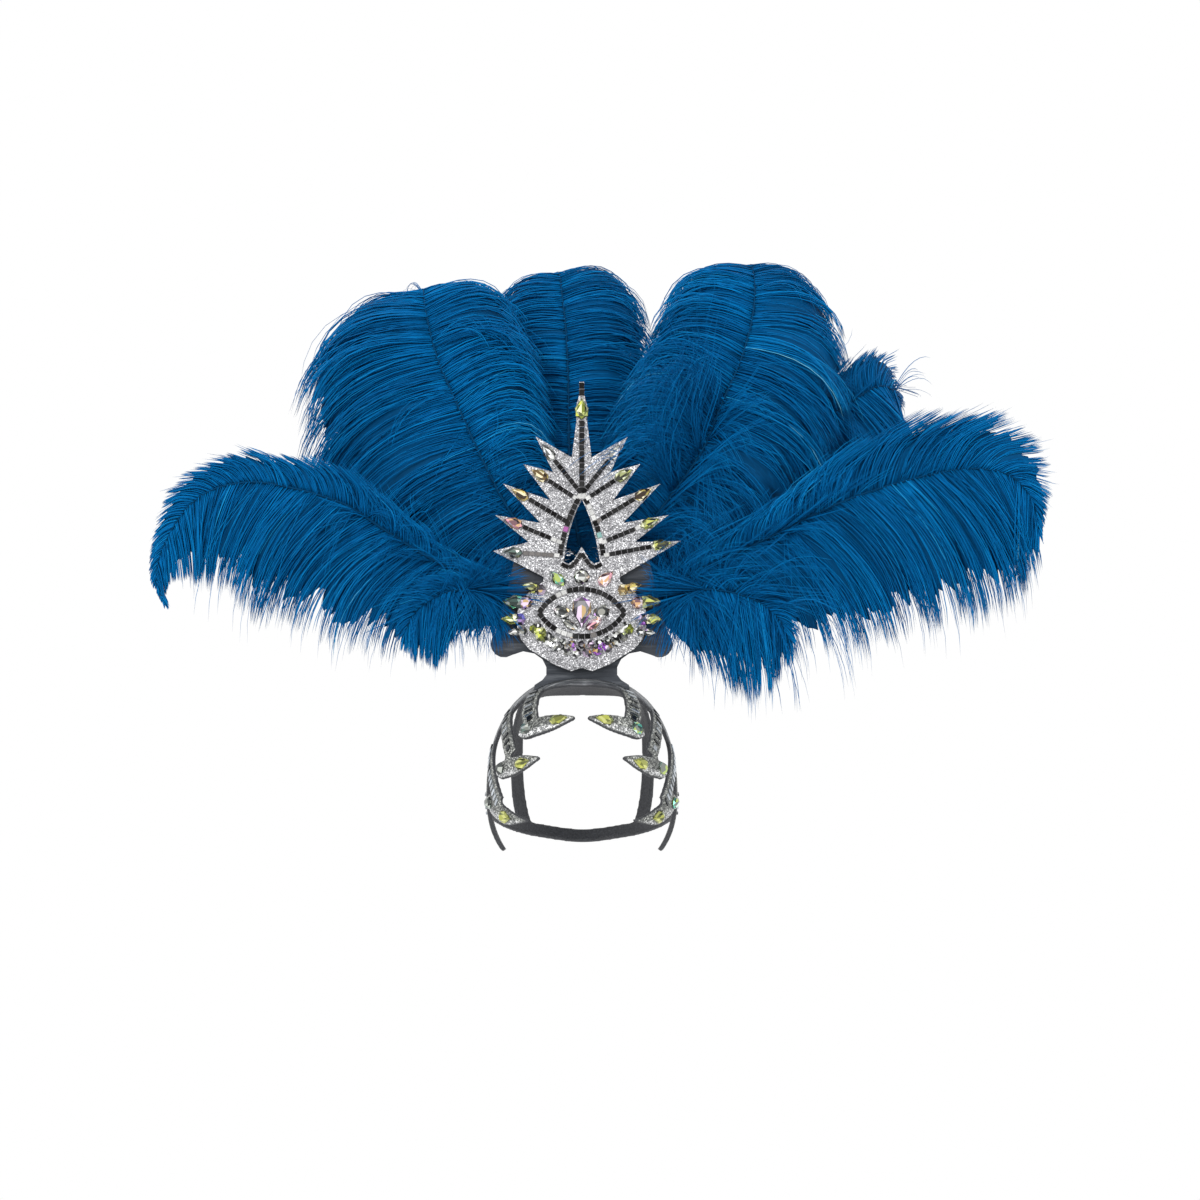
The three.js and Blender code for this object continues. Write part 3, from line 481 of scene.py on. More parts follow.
# Loose fluff on each plume: strands, side (0 is both), first and last share of the shaft, shortest and
# longest length, rise and its spread in degrees, lean back and its spread, least droop, tone
LOOSE = {
    "plume_centre": [
        (130, 0, 0.0, 0.12, 20, 44, 0, 40, 0.0, 0.25, 0.5, 0.3),
        (320, 0, 0.0, 0.05, 18, 36, 4, 26, 0.0, 0.3, 0.2, 0.26),
        (150, 0, 0.04, 0.55, 45, 110, 5, 24, 0.15, 0.25, 0.6, 0.34),
    ],
    "plume_left_high": [
        (190, 0, 0.0, 0.06, 18, 36, 0, 30, 0.0, 0.25, 0.2, 0.26),
        (260, 0, 0.02, 0.4, 30, 85, 10, 32, -0.1, 0.3, 0.5, 0.36),
        (40, 0, 0.3, 0.9, 60, 120, 20, 22, -0.1, 0.2, 0.5, 0.6),
    ],
    "plume_right_high": [
        (180, 0, 0.02, 0.45, 35, 95, 10, 34, -0.1, 0.3, 0.5, 0.36),
        (230, 1, 0.08, 0.46, 50, 105, 24, 50, -0.6, 0.3, 0.0, 0.47),
        (140, 0, 0.0, 0.06, 18, 36, 0, 30, 0.0, 0.25, 0.2, 0.26),
        (300, -1, 0.24, 0.5, 95, 150, 12, 14, -0.78, 0.12, 0.3, 0.42),
        (50, 1, 0.3, 0.8, 60, 130, 15, 25, -0.15, 0.2, 0.5, 0.58),
    ],
    "plume_left_low": [
        (220, 0, 0.04, 0.42, 34, 84, 18, 48, -0.5, 0.3, 0.1, 0.42),
        (60, -1, 0.2, 0.68, 100, 140, 0, 9, -0.05, 0.15, 0.8, 0.5),
    ],
    "plume_right_low": [
        (200, 0, 0.02, 0.5, 35, 95, 10, 36, -0.2, 0.3, 0.5, 0.36),
        (150, 0, 0.08, 0.42, 34, 80, 20, 60, -0.55, 0.35, 0.0, 0.45),
        (70, -1, 0.4, 0.82, 35, 75, 25, 20, 0.0, 0.2, 0.5, 0.5),
        (80, 1, 0.15, 0.72, 125, 175, 0, 9, -0.05, 0.15, 0.8, 0.5),
    ],
    "plume_right_back": [(200, 0, 0.05, 0.95, 40, 95, 15, 36, -0.2, 0.35, 0.4, 0.4)],
    "base_plume_right": [
        (220, 0, 0.3, 0.85, 45, 118, 0, 30, -0.25, 0.28, 0.6, 0.42),
        (380, 0, 0.3, 0.45, 44, 74, -86, 26, -0.5, 0.1, 0.1, 0.36),
    ],
    "base_plume_left": [
        (220, 0, 0.35, 0.85, 30, 75, 0, 34, -0.25, 0.28, 0.6, 0.4),
        (380, 0, 0.34, 0.5, 44, 72, -86, 26, -0.5, 0.1, 0.1, 0.36),
    ],
}


def shaft_of(rows):
    """A shaft read at even stations: its points, headings, the direction across it, which is carried
    along without a twist, and the barbs' lengths on both sides."""
    rows = np.array(rows, float) * MM
    even = np.linspace(0, 1, 4 * STATIONS)
    track = smooth_line(rows[:, :3], even)
    run = run_along(track)
    at = np.interp(np.linspace(0, run[-1], STATIONS), run, even)
    points = smooth_line(rows[:, :3], at)
    along = unit(np.gradient(points, axis=0))
    across = np.empty_like(along)
    carried = np.cross(along[0], FRONT)
    for k, heading in enumerate(along):
        carried = unit(carried - heading * np.dot(carried, heading))
        across[k] = carried
    reach = smooth_line(rows[:, 3:5], at)
    return {"points": points, "along": along, "across": across, "reach": reach, "length": run[-1]}


def read_shaft(shaft, name, share):
    """One of a shaft's arrays, read between its stations at each share of its length."""
    place = np.clip(share, 0, 1) * (STATIONS - 1)
    low = np.minimum(place.astype(int), STATIONS - 2)
    part = (place - low)[:, None]
    return shaft[name][low] * (1 - part) + shaft[name][low + 1] * part


def full_length(shaft, share, side):
    """The length of the barbs at each share of the shaft, on its plus or its minus side."""
    reach = read_shaft(shaft, "reach", share)
    return np.where(side > 0, reach[:, 0], reach[:, 1])


def barb_lines(shaft, plume, share, side, scale, rise, lean, droop):
    """Lines of barbs, one for each share of the shaft. A barb starts at a slant towards the tip and
    its heading moves step by step towards the ground, by droop times a power of its own share. A
    barb that starts upwards keeps along the shaft instead, and none turns back across the shaft."""
    root, along, across = (read_shaft(shaft, name, share) for name in ("points", "along", "across"))
    base, onset = plume["slant"]
    slant = np.radians(base + (BARB["tip_rise"] - base) * share**onset + rise)[:, None]
    start = across * np.cos(slant) * side[:, None] + along * np.sin(slant)
    start = unit(start + BACK * (plume["camber"] + lean)[:, None])
    climb = np.maximum(0, -dot(start, DOWN) - BARB["upright"])
    target = unit(DOWN + BARB["lift"] * climb * along)
    steps = BARB["steps"]
    turned = (droop[:, None] * ((np.arange(steps) + 0.5) / steps) ** BARB["bend"])[..., None]
    heading = unit(start[:, None] * (1 - turned) + target[:, None] * turned)
    aside = (across * side[:, None])[:, None]
    heading = unit(heading + aside * np.maximum(0, BARB["clearance"] - dot(heading, aside)))
    moves = heading * (full_length(shaft, share, side) * scale / steps)[:, None, None]
    lines = np.concatenate([root[:, None], root[:, None] + np.cumsum(moves, axis=1)], axis=1)
    return lines, np.cross(across, along)


def spikes_along(lines, normal, width, roll):
    """Each line as a long closed spike with three sides: a flat back as wide as width, which tapers
    to a point, and a ridge in front. roll turns it about its own line. Gives each point's share of
    its line too."""
    count, rings = len(lines), lines.shape[1] - 1
    along = unit(np.gradient(lines, axis=1))
    face = unit(normal[:, None] - dot(normal[:, None], along) * along)
    side = np.cross(along, face)
    cos, sin = (f(roll)[:, None, None] for f in (np.cos, np.sin))
    side, face = side * cos + face * sin, face * cos - side * sin
    half = width[:, None, None] * (1 - BARB["taper"] * OUT**1.6) / 2
    corners = [lines - side * half, lines + face * half * BARB["ridge"], lines + side * half]
    body = np.stack(corners, axis=2)[:, :rings].reshape(count, rings * 3, 3)
    points = np.concatenate([body, lines[:, -1:]], axis=1)
    tip = rings * 3
    last = np.arange(tip - 3, tip)
    cap = np.stack([last, np.roll(last, -1), np.full(3, tip)], axis=-1)
    pattern = np.vstack([grid_faces(rings, 3, wrap=True), cap, [[2, 1, 0]]])
    faces = (pattern[None] + (np.arange(count) * (tip + 1))[:, None, None]).reshape(-1, 3)
    points = points.reshape(-1, 3)
    out = np.append(np.repeat(OUT[:rings], 3), 1.0)
    return {"points": points, "faces": outward(points, faces)}, np.tile(out, count)


def wander(rng, share, knots, size):
    """A smooth random value along the shaft, drawn at evenly spaced knots and read between them."""
    return np.interp(share, np.linspace(0, 1, knots), rng.normal(0, size, knots))


def strands(shaft, lines, normal, share, width, roll, tone):
    """Lines of barbs as one body. Its tone is each barb's own, which for a few barbs holds a painted
    highlight, a little lighter towards the tip, and its strand is the place on the plume: how far along
    the shaft and how far out on the barb."""
    body, out = spikes_along(lines, normal, width, roll)
    verts = len(body["points"]) // len(lines)
    body["tone"] = np.repeat(tone, verts) + 0.16 * (out - 0.55)
    body["strand"] = np.stack([np.repeat(share * shaft["length"], verts), out], axis=-1)
    return body


def swayed(lines, normal, rng, size):
    """Lines with a slow wave across the plume's face, which grows towards their tips."""
    each = (len(lines), 1, 1)
    phase = rng.uniform(0, 2 * np.pi, each) + OUT * rng.uniform(3, 7, each)
    sway = rng.normal(0, size * MM, each) * np.sin(phase) * OUT
    depth = rng.normal(0, BARB["depth"], each) * MM
    return lines + (sway + depth) * normal[:, None]


def barbs_of(shaft, plume, rng, sign):
    """One side of a plume. Barbs stand in clumps: a barb's line is drawn towards the line of its
    clump, more towards the tip, so that the clumps part and leave dark gaps between them, where the
    under-sheet's painted shade shows. A few barbs are long wisps that reach past the rest, and a few
    have a lighter tone, a painted highlight along the strand."""
    count, ragged = plume["barbs"], plume["ragged"]
    share = np.sort(rng.uniform(0.05, 1, count))
    clumps = int(shaft["length"] / (CLUMP["width"] * MM))
    place = (share + rng.normal(0, CLUMP["blur"] / clumps, count)) * clumps
    clump = np.clip(place, 0, clumps - 1).astype(int)
    centre = (np.arange(clumps) + 0.5) / clumps
    side = np.full(count, sign, float)

    def drift(key):
        return wander(rng, centre, *CLUMP[f"{key}_wander"])

    def vary(size, number):
        return rng.normal(0, size, number)

    rise = drift("rise") + vary(CLUMP["rise"] * (1 + ragged), clumps)
    lean = drift("lean") + vary(CLUMP["lean"], clumps)
    reach = CLUMP["reach"] + drift("reach") - np.abs(vary(CLUMP["short"] * ragged, clumps))
    droop = BARB["droop"] + vary(CLUMP["droop"], clumps)
    tone = vary(CLUMP["tone"], clumps) + drift("tone")
    reach, rise, lean, droop, tone = (value[clump] for value in (reach, rise, lean, droop, tone))
    wisp = rng.random(count) < WISP["share"] * ragged
    own_reach = reach * (1 - np.abs(vary(OWN["short"], count)))
    own_reach = np.where(wisp, reach * rng.uniform(1.0, WISP["longest"], count), own_reach)
    own_rise = rise + vary(OWN["rise"], count)
    own_lean = lean + vary(OWN["lean"], count)
    own_droop = droop + vary(OWN["droop"], count) + WISP["droop"] * wisp
    own, normal = barb_lines(shaft, plume, share, side, own_reach, own_rise, own_lean, own_droop)
    led, _ = barb_lines(shaft, plume, centre[clump], side, reach, rise, lean, droop)
    pull = np.clip(rng.normal(*CLUMP["pull"], count), 0, 0.85)
    pull = np.where(wisp, WISP["pull"], pull)[:, None, None] * OUT**1.5
    lines = swayed(own * (1 - pull) + led * pull, normal, rng, CLUMP["sway"])
    width = rng.uniform(0.85, 1.5, count) * (1 - WISP["thinner"] * wisp) * MM
    # A few barbs get a lighter tone: a painted highlight, the bright line that light leaves along a
    # strand.
    bright = (rng.random(count) > 0.97) * rng.uniform(0.1, 0.3, count)
    tone = 0.47 + tone + vary(OWN["tone"], count) + bright
    return strands(shaft, lines, normal, share, width, vary(OWN["roll"], count), tone)


def loose_of(shaft, plume, rng, row):
    """Loose fluff: strands in small tufts. Each tuft draws its place, side, length, rise, lean and
    droop from its row, and its strands differ from it a little."""
    count, side, first, last, short, long, rise, rise_spread, lean, lean_spread, slack, tone = row
    tuft = rng.integers(0, max(1, count // TUFT["strands"]), count)
    tufts = tuft.max() + 1

    def vary(key):
        return rng.normal(0, FLUFF[key], count)

    share = np.clip(rng.uniform(first, last, tufts)[tuft] + vary("place"), 0.01, 0.99)
    side = rng.choice([-1.0, 1.0], tufts)[tuft] if side == 0 else np.full(count, float(side))
    length = rng.uniform(short, long, tufts)[tuft] * (1 - np.abs(vary("short"))) * MM
    scale = length / full_length(shaft, share, side)
    rises = rng.normal(rise, rise_spread, tufts)[tuft] + vary("rise")
    leans = rng.normal(lean, lean_spread, tufts)[tuft] + vary("lean")
    droops = rng.uniform(slack, 1, tufts)[tuft] + vary("droop")
    lines, normal = barb_lines(shaft, plume, share, side, scale, rises, leans, droops)
    lines = swayed(lines, normal, rng, TUFT["sway"])
    width = rng.uniform(0.55, 0.95, count) * MM
    tones = tone + rng.normal(0, TUFT["tone"], tufts)[tuft] + vary("tone")
    return strands(shaft, lines, normal, share, width, vary("roll"), tones)


def vane_of(shaft, plume, rng):
    """The closed sheet under the barbs, so that the plume isn't seen through near its shaft: rows are
    plain barbs cut back to uneven lengths, and its dark tone, darker still towards the edge, is painted
    shade, the shade between the barbs."""
    rows = VANE["rows"]
    share = np.linspace(0.04, 0.985, rows)
    level = np.zeros(rows)
    halves = []
    for sign in (-1, 1):
        cut = plume["sheet"] * rng.uniform(VANE["short"], VANE["long"], rows)
        cut += wander(rng, share, *VANE["wander"])
        side = np.full(rows, sign, float)
        lines, normal = barb_lines(shaft, plume, share, side, cut, level, level, level + BARB["droop"])
        halves.append(lines - normal[:, None] * VANE["behind"] * MM)
    grid = np.concatenate([halves[0][:, :0:-1], halves[1]], axis=1)
    body = shell(grid, VANE["thick"] * MM)
    across = np.abs(np.linspace(-1, 1, grid.shape[1]))
    out = np.concatenate([across, across[::-1]])
    # The sheet's dark tone is painted shade: the shade between the barbs, deeper towards the edge.
    body["tone"] = np.tile(0.22 - 0.08 * out, rows) + np.repeat(rng.normal(0, 0.04, rows), len(out))
    run = np.repeat(share * shaft["length"], len(out))
    body["strand"] = np.stack([run, np.tile(out, rows)], axis=-1)
    return body


def quill_of(shaft):
    """The shaft itself: rings of a circle carried along every third station, thinner towards the
    tip, and a little in front of the barbs' roots."""
    points, along, across = (shaft[name][::3] for name in ("points", "along", "across"))
    normal = np.cross(across, along)
    t = np.linspace(0, 1, len(points))
    radius = (QUILL["base"] + (QUILL["tip"] - QUILL["base"]) * t**0.6) * MM * QUILL["slim"]
    turn = turns(10)[:, None]
    ring = across[:, None] * np.cos(turn) + normal[:, None] * np.sin(turn)
    middle = points[:, None] + normal[:, None] * QUILL["in_front"] * MM
    body = loft(middle + ring * radius[:, None, None])
    body["tone"] = np.full(len(body["points"]), 0.05)
    body["strand"] = np.zeros((len(body["points"]), 2))
    return body


def make_plume(name, material, seed):
    """A plume as one piece: its under-sheet, its quill, the barbs of both sides and its loose fluff."""
    rng = np.random.default_rng(seed)
    plume = PLUMES[name]
    shaft = shaft_of(plume["rows"])
    bodies = [vane_of(shaft, plume, rng), quill_of(shaft)]
    bodies += [barbs_of(shaft, plume, rng, sign) for sign in (-1, 1)]
    bodies += [loose_of(shaft, plume, rng, row) for row in LOOSE[name]]
    make_piece(f"{name}_barbs", joined(bodies), material, [name])


# Foam cap
CAP = {
    "half_width": 86, "half_length": 102, "rise": 111, "fall": 78, "fullness": 2.3, "wall": 4,
    "corner": 1.1,
}
CAP_CENTRE = np.array([0, 0, CAP["wall"] - CAP["rise"]]) * MM
# Bands of foam: rows of azimuth, elevation and half width
ARCH_SIDE = [[50, 68, 16], [72, 54, 13.5], [82, 38, 12], [85, 20, 10], [84, 6, 8.5], [82, -6, 7]]
REAR_SIDE = [[155, 57, 10], [115, 51, 10], [87, 40, 9]]
NAPE_SIDE = [[155, -28, 7], [120, -17, 7.5], [86, -2, 8]]
# Bands that stand on both sides
SIDE_BANDS = {
    "stem_1": [[58, 60, 9], [51, 51, 9], [43, 42, 9], [37, 36, 8.5]],
    "foot_1": [
        [45, 31, 3.5], [39.5, 32.5, 9], [30, 35.4, 9.5], [20, 38, 8], [11, 40, 4.5], [4.2, 40.8, 1],
    ],
    "stem_2": [[82, 44, 10], [70, 37.5, 8.5], [57, 29.6, 8.5], [47, 21, 8]],
    "foot_2": [
        [60, 13, 3.5], [53.5, 14, 8.5], [44, 16, 9], [35.5, 18.3, 7], [29.5, 19.8, 3.5], [25.5, 20.7, 1],
    ],
    "stem_3": [[85, 26, 9], [76, 17, 9.5], [65, 8, 9.5], [55, -1.5, 9]],
    "foot_3": [
        [75, 0, 4], [69, -1.5, 8.5], [60, -4.5, 9.5], [49, -8.6, 8.5], [40, -10, 4.5], [32, -10.4, 1],
    ],
    "ear_tab": [[90, 4, 9], [92, -10, 10], [92, -24, 9], [90, -37, 4.5]],
    "rear_rib": [[120, 52, 8], [130, 32, 8], [136, 8, 8], [140, -22, 8]],
}


def mirrored(rows):
    """A band's rows on the other side of the cap."""
    return [[-row[0], *row[1:]] for row in rows]


def both_sides(rows, middle):
    """The rows of a band that runs from one side over its middle row to the other side."""
    return [*mirrored(rows)[::-1], middle, *rows]


ARCH = both_sides(ARCH_SIDE, [0, 73, 16])
BANDS = [ARCH, both_sides(REAR_SIDE, [180, 58, 10]), both_sides(NAPE_SIDE, [180, -32, 7])]
for side_rows in SIDE_BANDS.values():
    BANDS += [side_rows, mirrored(side_rows)]


def cap_direction(azimuth, elevation):
    """The direction from the cap's centre: azimuth 0 is the front, which is -Y, and 90 is +X."""
    a, e = np.radians(azimuth), np.radians(elevation)
    return np.stack([np.cos(e) * np.sin(a), -np.cos(e) * np.cos(a), np.sin(e)], axis=-1)


def cap_axes(direction, inset=0.0):
    """The cap's half width, half length and height on that side of its centre, less the inset."""
    high = np.where(direction[..., 2:] > 0, CAP["rise"], CAP["fall"])
    wide, deep = (np.full(high.shape, float(CAP[key])) for key in ("half_width", "half_length"))
    return (np.concatenate([wide, deep, high], axis=-1) - inset) * MM


def cap_reach(shares):
    """How far out a direction in shares of the cap's axes lies: 1 is on its surface, which is a
    superellipsoid, where the shares, each to the power of the fullness, add up to one."""
    return np.sum(np.abs(shares) ** CAP["fullness"], axis=-1, keepdims=True) ** (1 / CAP["fullness"])


def on_cap(direction, inset=0.0):
    """The point where a direction meets the cap's surface, or one that lies an inset below it."""
    return direction / cap_reach(direction) * cap_axes(direction, inset) + CAP_CENTRE


def cap_shares(points):
    """Points as a direction from the cap's centre, in shares of its axes."""
    return (points - CAP_CENTRE) / cap_axes(points - CAP_CENTRE)


def cap_normal(direction):
    """The way out of the cap's surface: the slope of the sum of powers, over the axes."""
    slope = np.sign(direction) * np.abs(direction) ** (CAP["fullness"] - 1)
    return unit(slope / cap_axes(direction))


def band_track(rows, count):
    """A band's middle line on the cap: directions, points, the direction across and half widths."""
    rows = np.array(rows, float)
    t = np.linspace(0, 1, count)
    direction = unit(smooth_line(cap_direction(rows[:, 0], rows[:, 1]), t))
    half = smooth_line(np.stack([rows[:, 2]] * 3, axis=-1), t)[:, 0] * MM
    middle = on_cap(direction)
    along = unit(np.gradient(middle, axis=0))
    across = unit(np.cross(along, cap_normal(direction)))
    return direction, middle, across, half


def band_body(rows):
    """A band of foam: at each station a section with rounded corners, whose face follows the cap's
    surface and whose back lies the wall's thickness below it. A point of the section is a share of
    the half width, what it stands over that, and its inset."""
    _, middle, across, half = band_track(rows, 60)
    wall, corner = CAP["wall"], CAP["corner"]
    turn = np.linspace(0, np.pi / 2, 4)
    over, rise = corner * np.sin(turn) - corner, corner * np.cos(turn)
    one = np.ones(4)
    face_corner = np.stack([one, over, corner - rise], axis=-1)[::-1]
    back_corner = np.stack([one, over, wall - corner + rise], axis=-1)[::-1]
    right = np.vstack([face_corner, back_corner])
    left = (right * [-1, -1, 1])[::-1]
    flat = np.linspace(-1, 1, 9)[1:-1, None] * [1, 0, 0]
    section = np.vstack([flat, right, flat[::-1] + [0, 0, wall], left])
    share, over, inset = section.T[:, :, None]
    spots = middle + across * (share * half + over * MM)[..., None]
    return loft(on_cap(cap_shares(spots), inset[..., None]).transpose(1, 0, 2))


def remeshed(body, voxel):
    """The outer skin of overlapping bodies, as even quads of about the voxel's size, smoothed: its
    points, faces and normals."""
    mesh = bpy.data.meshes.new("rough")
    mesh.from_pydata(body["points"].tolist(), [], body["faces"].tolist())
    rough = linked("rough", mesh)
    skin = rough.modifiers.new("skin", "REMESH")
    skin.mode = "VOXEL"
    skin.voxel_size = voxel
    ease = rough.modifiers.new("ease", "SMOOTH")
    ease.factor = 0.5
    ease.iterations = 4
    made = rough.evaluated_get(bpy.context.evaluated_depsgraph_get()).to_mesh()
    made.calc_loop_triangles()

    def read(items, field, kind):
        values = np.empty(len(items) * 3, kind)
        items.foreach_get(field, values)
        return values.reshape(-1, 3)

    points = read(made.vertices, "co", float)
    faces = read(made.loop_triangles, "vertices", int)
    normals = read(made.vertices, "normal", float)
    rough.to_mesh_clear()
    bpy.data.objects.remove(rough)
    bpy.data.meshes.remove(mesh)
    return points, faces, normals


def past_band(points, rows, count):
    """How far each point lies outside a band: the least, over its stations, of the distance to its
    middle line less the half width there. Points are taken in batches to save memory."""
    _, middle, _, half = band_track(rows, count)
    batches = np.split(points, range(20000, len(points), 20000))
    gaps = (np.linalg.norm(batch[:, None] - middle, axis=-1) - half for batch in batches)
    return np.concatenate([gap.min(axis=1) for gap in gaps])


def rim_sparkle(points):
    """How strongly the silver glitter along the lower rim of each foot shows at each point: it grows
    from the foot's middle line to its lower edge."""
    sparkle = np.zeros(len(points))
    for boot in (1, 2, 3):
        for rows in (SIDE_BANDS[f"foot_{boot}"], mirrored(SIDE_BANDS[f"foot_{boot}"])):
            _, middle, across, half = band_track(rows, 50)
            across = across * np.sign(-across[:, 2:])
            near = np.flatnonzero(np.linalg.norm(points - middle[25], axis=1) < 50 * MM)
            gaps = np.linalg.norm(points[near][:, None] - middle[None], axis=-1)
            k = np.argmin(gaps, axis=1)
            below = np.sum((points[near] - middle[k]) * across[k], axis=1) / half[k]
            inside = gaps[np.arange(len(near)), k] < half[k]
            sparkle[near] = np.maximum(sparkle[near], np.clip((below - 0.1) / 0.3, 0, 1) * inside)
    return sparkle


def make_cap(material):
    """The bands as one skin. Cloth shows on the outer face inside a bare rim, and strokes of glue on
    the arch, more so towards its top."""

    def grows(values, start, over):
        return np.clip((values - start) / over, 0, 1)

    points, faces, normals = remeshed(joined([band_body(rows) for rows in BANDS]), 1.45 * MM)
    shares = cap_shares(points)
    facing = np.sum(cap_normal(shares) * normals, axis=-1)
    margin = -np.min([past_band(points, rows, 70) for rows in BANDS], axis=0)
    cloth = grows(margin, 1.0 * MM, 0.8 * MM) * grows(facing, 0.55, 0.2)
    cloth *= cap_reach(shares)[:, 0] > 0.985
    height = points[:, 2] - CAP_CENTRE[2]
    brushed = (1 - grows(past_band(points, ARCH, 120), 0, 2.5 * MM)) * grows(height, 30 * MM, 25 * MM)
    turn = np.arctan2(points[:, 0], height)
    body = {
        "points": points,
        "faces": faces,
        "cloth": cloth,
        "brushed": brushed,
        "sparkle": rim_sparkle(points) * cloth,
        "sweep": np.stack([turn * 6, points[:, 1] * 650, height * 60], axis=-1),
    }
    make_piece("cap_foam", body, material, ["cap_frame"])


# Crest plates, backing and pad
def make_plate(node, name, material, bevel):
    """A plate cut as its node is, with its coplanar faces joined and its edges eased."""
    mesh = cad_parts[node].data.copy()
    mesh.name = name
    work = bmesh.new()
    work.from_mesh(mesh)
    bmesh.ops.remove_doubles(work, verts=work.verts, dist=0.01 * MM)
    bmesh.ops.dissolve_limit(work, angle_limit=0.01, verts=work.verts, edges=work.edges)
    bmesh.ops.triangulate(work, faces=[face for face in work.faces if len(face.verts) > 60])
    work.to_mesh(mesh)
    work.free()
    mesh.materials.clear()
    mesh.materials.append(material)
    mesh.polygons.foreach_set("use_smooth", np.zeros(len(mesh.polygons), bool))
    plate = linked(name, mesh)
    ease = plate.modifiers.new("eased_edge", "BEVEL")
    ease.width = bevel
    ease.segments = 2
    ease.limit_method = "ANGLE"
    ease.angle_limit = 0.6
    let_ride(plate, [node])


def make_pad(material):
    """The pad that holds the quills: a disc turned about the depth axis, with a rounded rim. Its
    profile is the distance from the axis and the depth behind its front."""
    deep, radius, rim = PAD["depth"], PAD["radius"], PAD["rim"]
    bend = np.linspace(0, np.pi / 2, 6)
    flat = np.array([[0.3 * radius, 0], [0.7 * radius, 0]])
    sine, cosine = rim * np.sin(bend), rim * np.cos(bend)
    front = np.stack([radius - rim + sine, rim - cosine], axis=-1)
    rear = np.stack([radius - rim + cosine, deep - rim + sine], axis=-1)
    profile = np.vstack([flat, front, rear, flat[::-1] + [0, deep]])
    out, back = profile.T[:, :, None]
    turn = turns(72)
    spots = [out * np.cos(turn), PAD["front_y"] + back + 0 * turn, PAD["centre_z"] + out * np.sin(turn)]
    rings = np.stack(spots, axis=-1) * MM
    make_piece("quill_pad_foam", loft(rings), material, ["quill_pad"])


# Stones
# A palette's tints are painted reflections: the light, dark and coloured glints that a foil-backed
# stone's facets throw back.
PALETTES = {
    "green": [(204, 208, 112), (96, 98, 62), (250, 252, 212), (58, 60, 50), (170, 176, 122)],
    "gold": [(216, 196, 108), (112, 90, 54), (252, 240, 200), (60, 48, 38), (176, 152, 100)],
    "clear": [
        (214, 216, 212), (104, 106, 104), (255, 255, 255), (48, 50, 50), (160, 160, 152), (76, 78, 80),
    ],
    "violet": [
        (178, 104, 216), (92, 88, 96), (244, 220, 248), (62, 58, 66), (206, 176, 126), (150, 148, 152),
    ],
    "teal": [
        (110, 196, 170), (66, 88, 82), (226, 250, 238), (44, 58, 54), (180, 200, 110), (130, 136, 130),
    ],
    "pink": [(244, 176, 190), (130, 96, 102), (255, 236, 240), (70, 56, 60), (226, 182, 136)],
    "blue": [(112, 108, 206), (68, 66, 100), (212, 216, 252), (42, 42, 62), (170, 140, 196)],
    "lime": [(222, 230, 90), (128, 138, 50), (252, 254, 206), (78, 84, 44), (196, 204, 120)],
    "moss": [(178, 182, 84), (120, 124, 62), (206, 208, 130), (92, 96, 56), (160, 164, 92)],
    "smoke": [(132, 136, 130), (76, 80, 78), (196, 200, 192), (42, 46, 44), (104, 124, 116)],
}
LARGE_STONE = 11
# Each stone lies on its seat: cut, x, z, length, width, height, angle, and the palettes on the left
# and the right
MAST_STONE = ["drop", 0, 240.3, 19, 12, 5.5, 90, "lime", "lime"]
EYE_STONES = {
    "pupil_stone": ["drop", 0, 60, 27.5, 17, 6.5, -90, "violet", "violet"],
    "eye_oval": ["round", 17.5, 60, 15.5, 12.5, 4.5, 20, "clear", "clear"],
    "eye_petal": ["navette", 10.3, 48.9, 17, 8.5, 4, 33, "clear", "pink"],
    "brow_round": ["round", 0, 91.2, 14.6, 14.6, 5, 0, "clear", "clear"],
    "brow_drop": ["drop", 21.8, 89.8, 18, 10.5, 4.5, 47, "teal", "pink"],
}
SIDE_STONES = [
    [
        ["round", 36.5, 79.5, 9.6, 9.6, 5.2, 0, "violet", "gold"],
        ["drop", 46, 82, 16, 9.2, 4, 18, "green", "gold"],
    ],
    [
        ["round", 49.5, 68.5, 12.4, 12.4, 5.2, 0, "violet", "pink"],
        ["drop", 60.5, 69, 20, 12, 4, 3, "teal", "green"],
    ],
    [
        ["round", 54.5, 53.5, 10, 10, 5.2, 0, "blue", "violet"],
        ["drop", 63.5, 53.8, 16.5, 9.6, 4, 0, "lime", "green"],
    ],
    [
        ["round", 52.5, 43, 8.6, 8.6, 5.2, 0, "clear", "clear"],
        ["drop", 60, 42, 13.4, 6.6, 4, -6, "clear", "clear"],
    ],
]
FIELD = {"z": 61, "from": 200, "to": 340, "bed": 0.8, "lime_past": 30, "clear_share": 0.72}
FIELD_ROWS = [
    {"half_width": 43.5, "half_height": 30, "count": 13, "size": 7.0, "height": 3.6},
    {"half_width": 46.5, "half_height": 37, "count": 12, "size": 8.4, "height": 4},
]
# The cap's stones: cut, palettes on the left and right, and rows of boot, azimuth, elevation, length
# and width
CAP_STONES = {
    "toe_stone": (
        "drop",
        ("moss", "moss"),
        [[1, 16.5, 38.8, 16.5, 9.5], [2, 36.5, 17.6, 16.5, 10], [3, 48.5, -8.8, 17, 11]],
    ),
    "heel_stone": (
        "round",
        ("smoke", "teal"),
        [[1, 39, 33.2, 12, 12], [2, 54, 14.6, 10.5, 10.5], [3, 68, -1.6, 14, 11]],
    ),
}
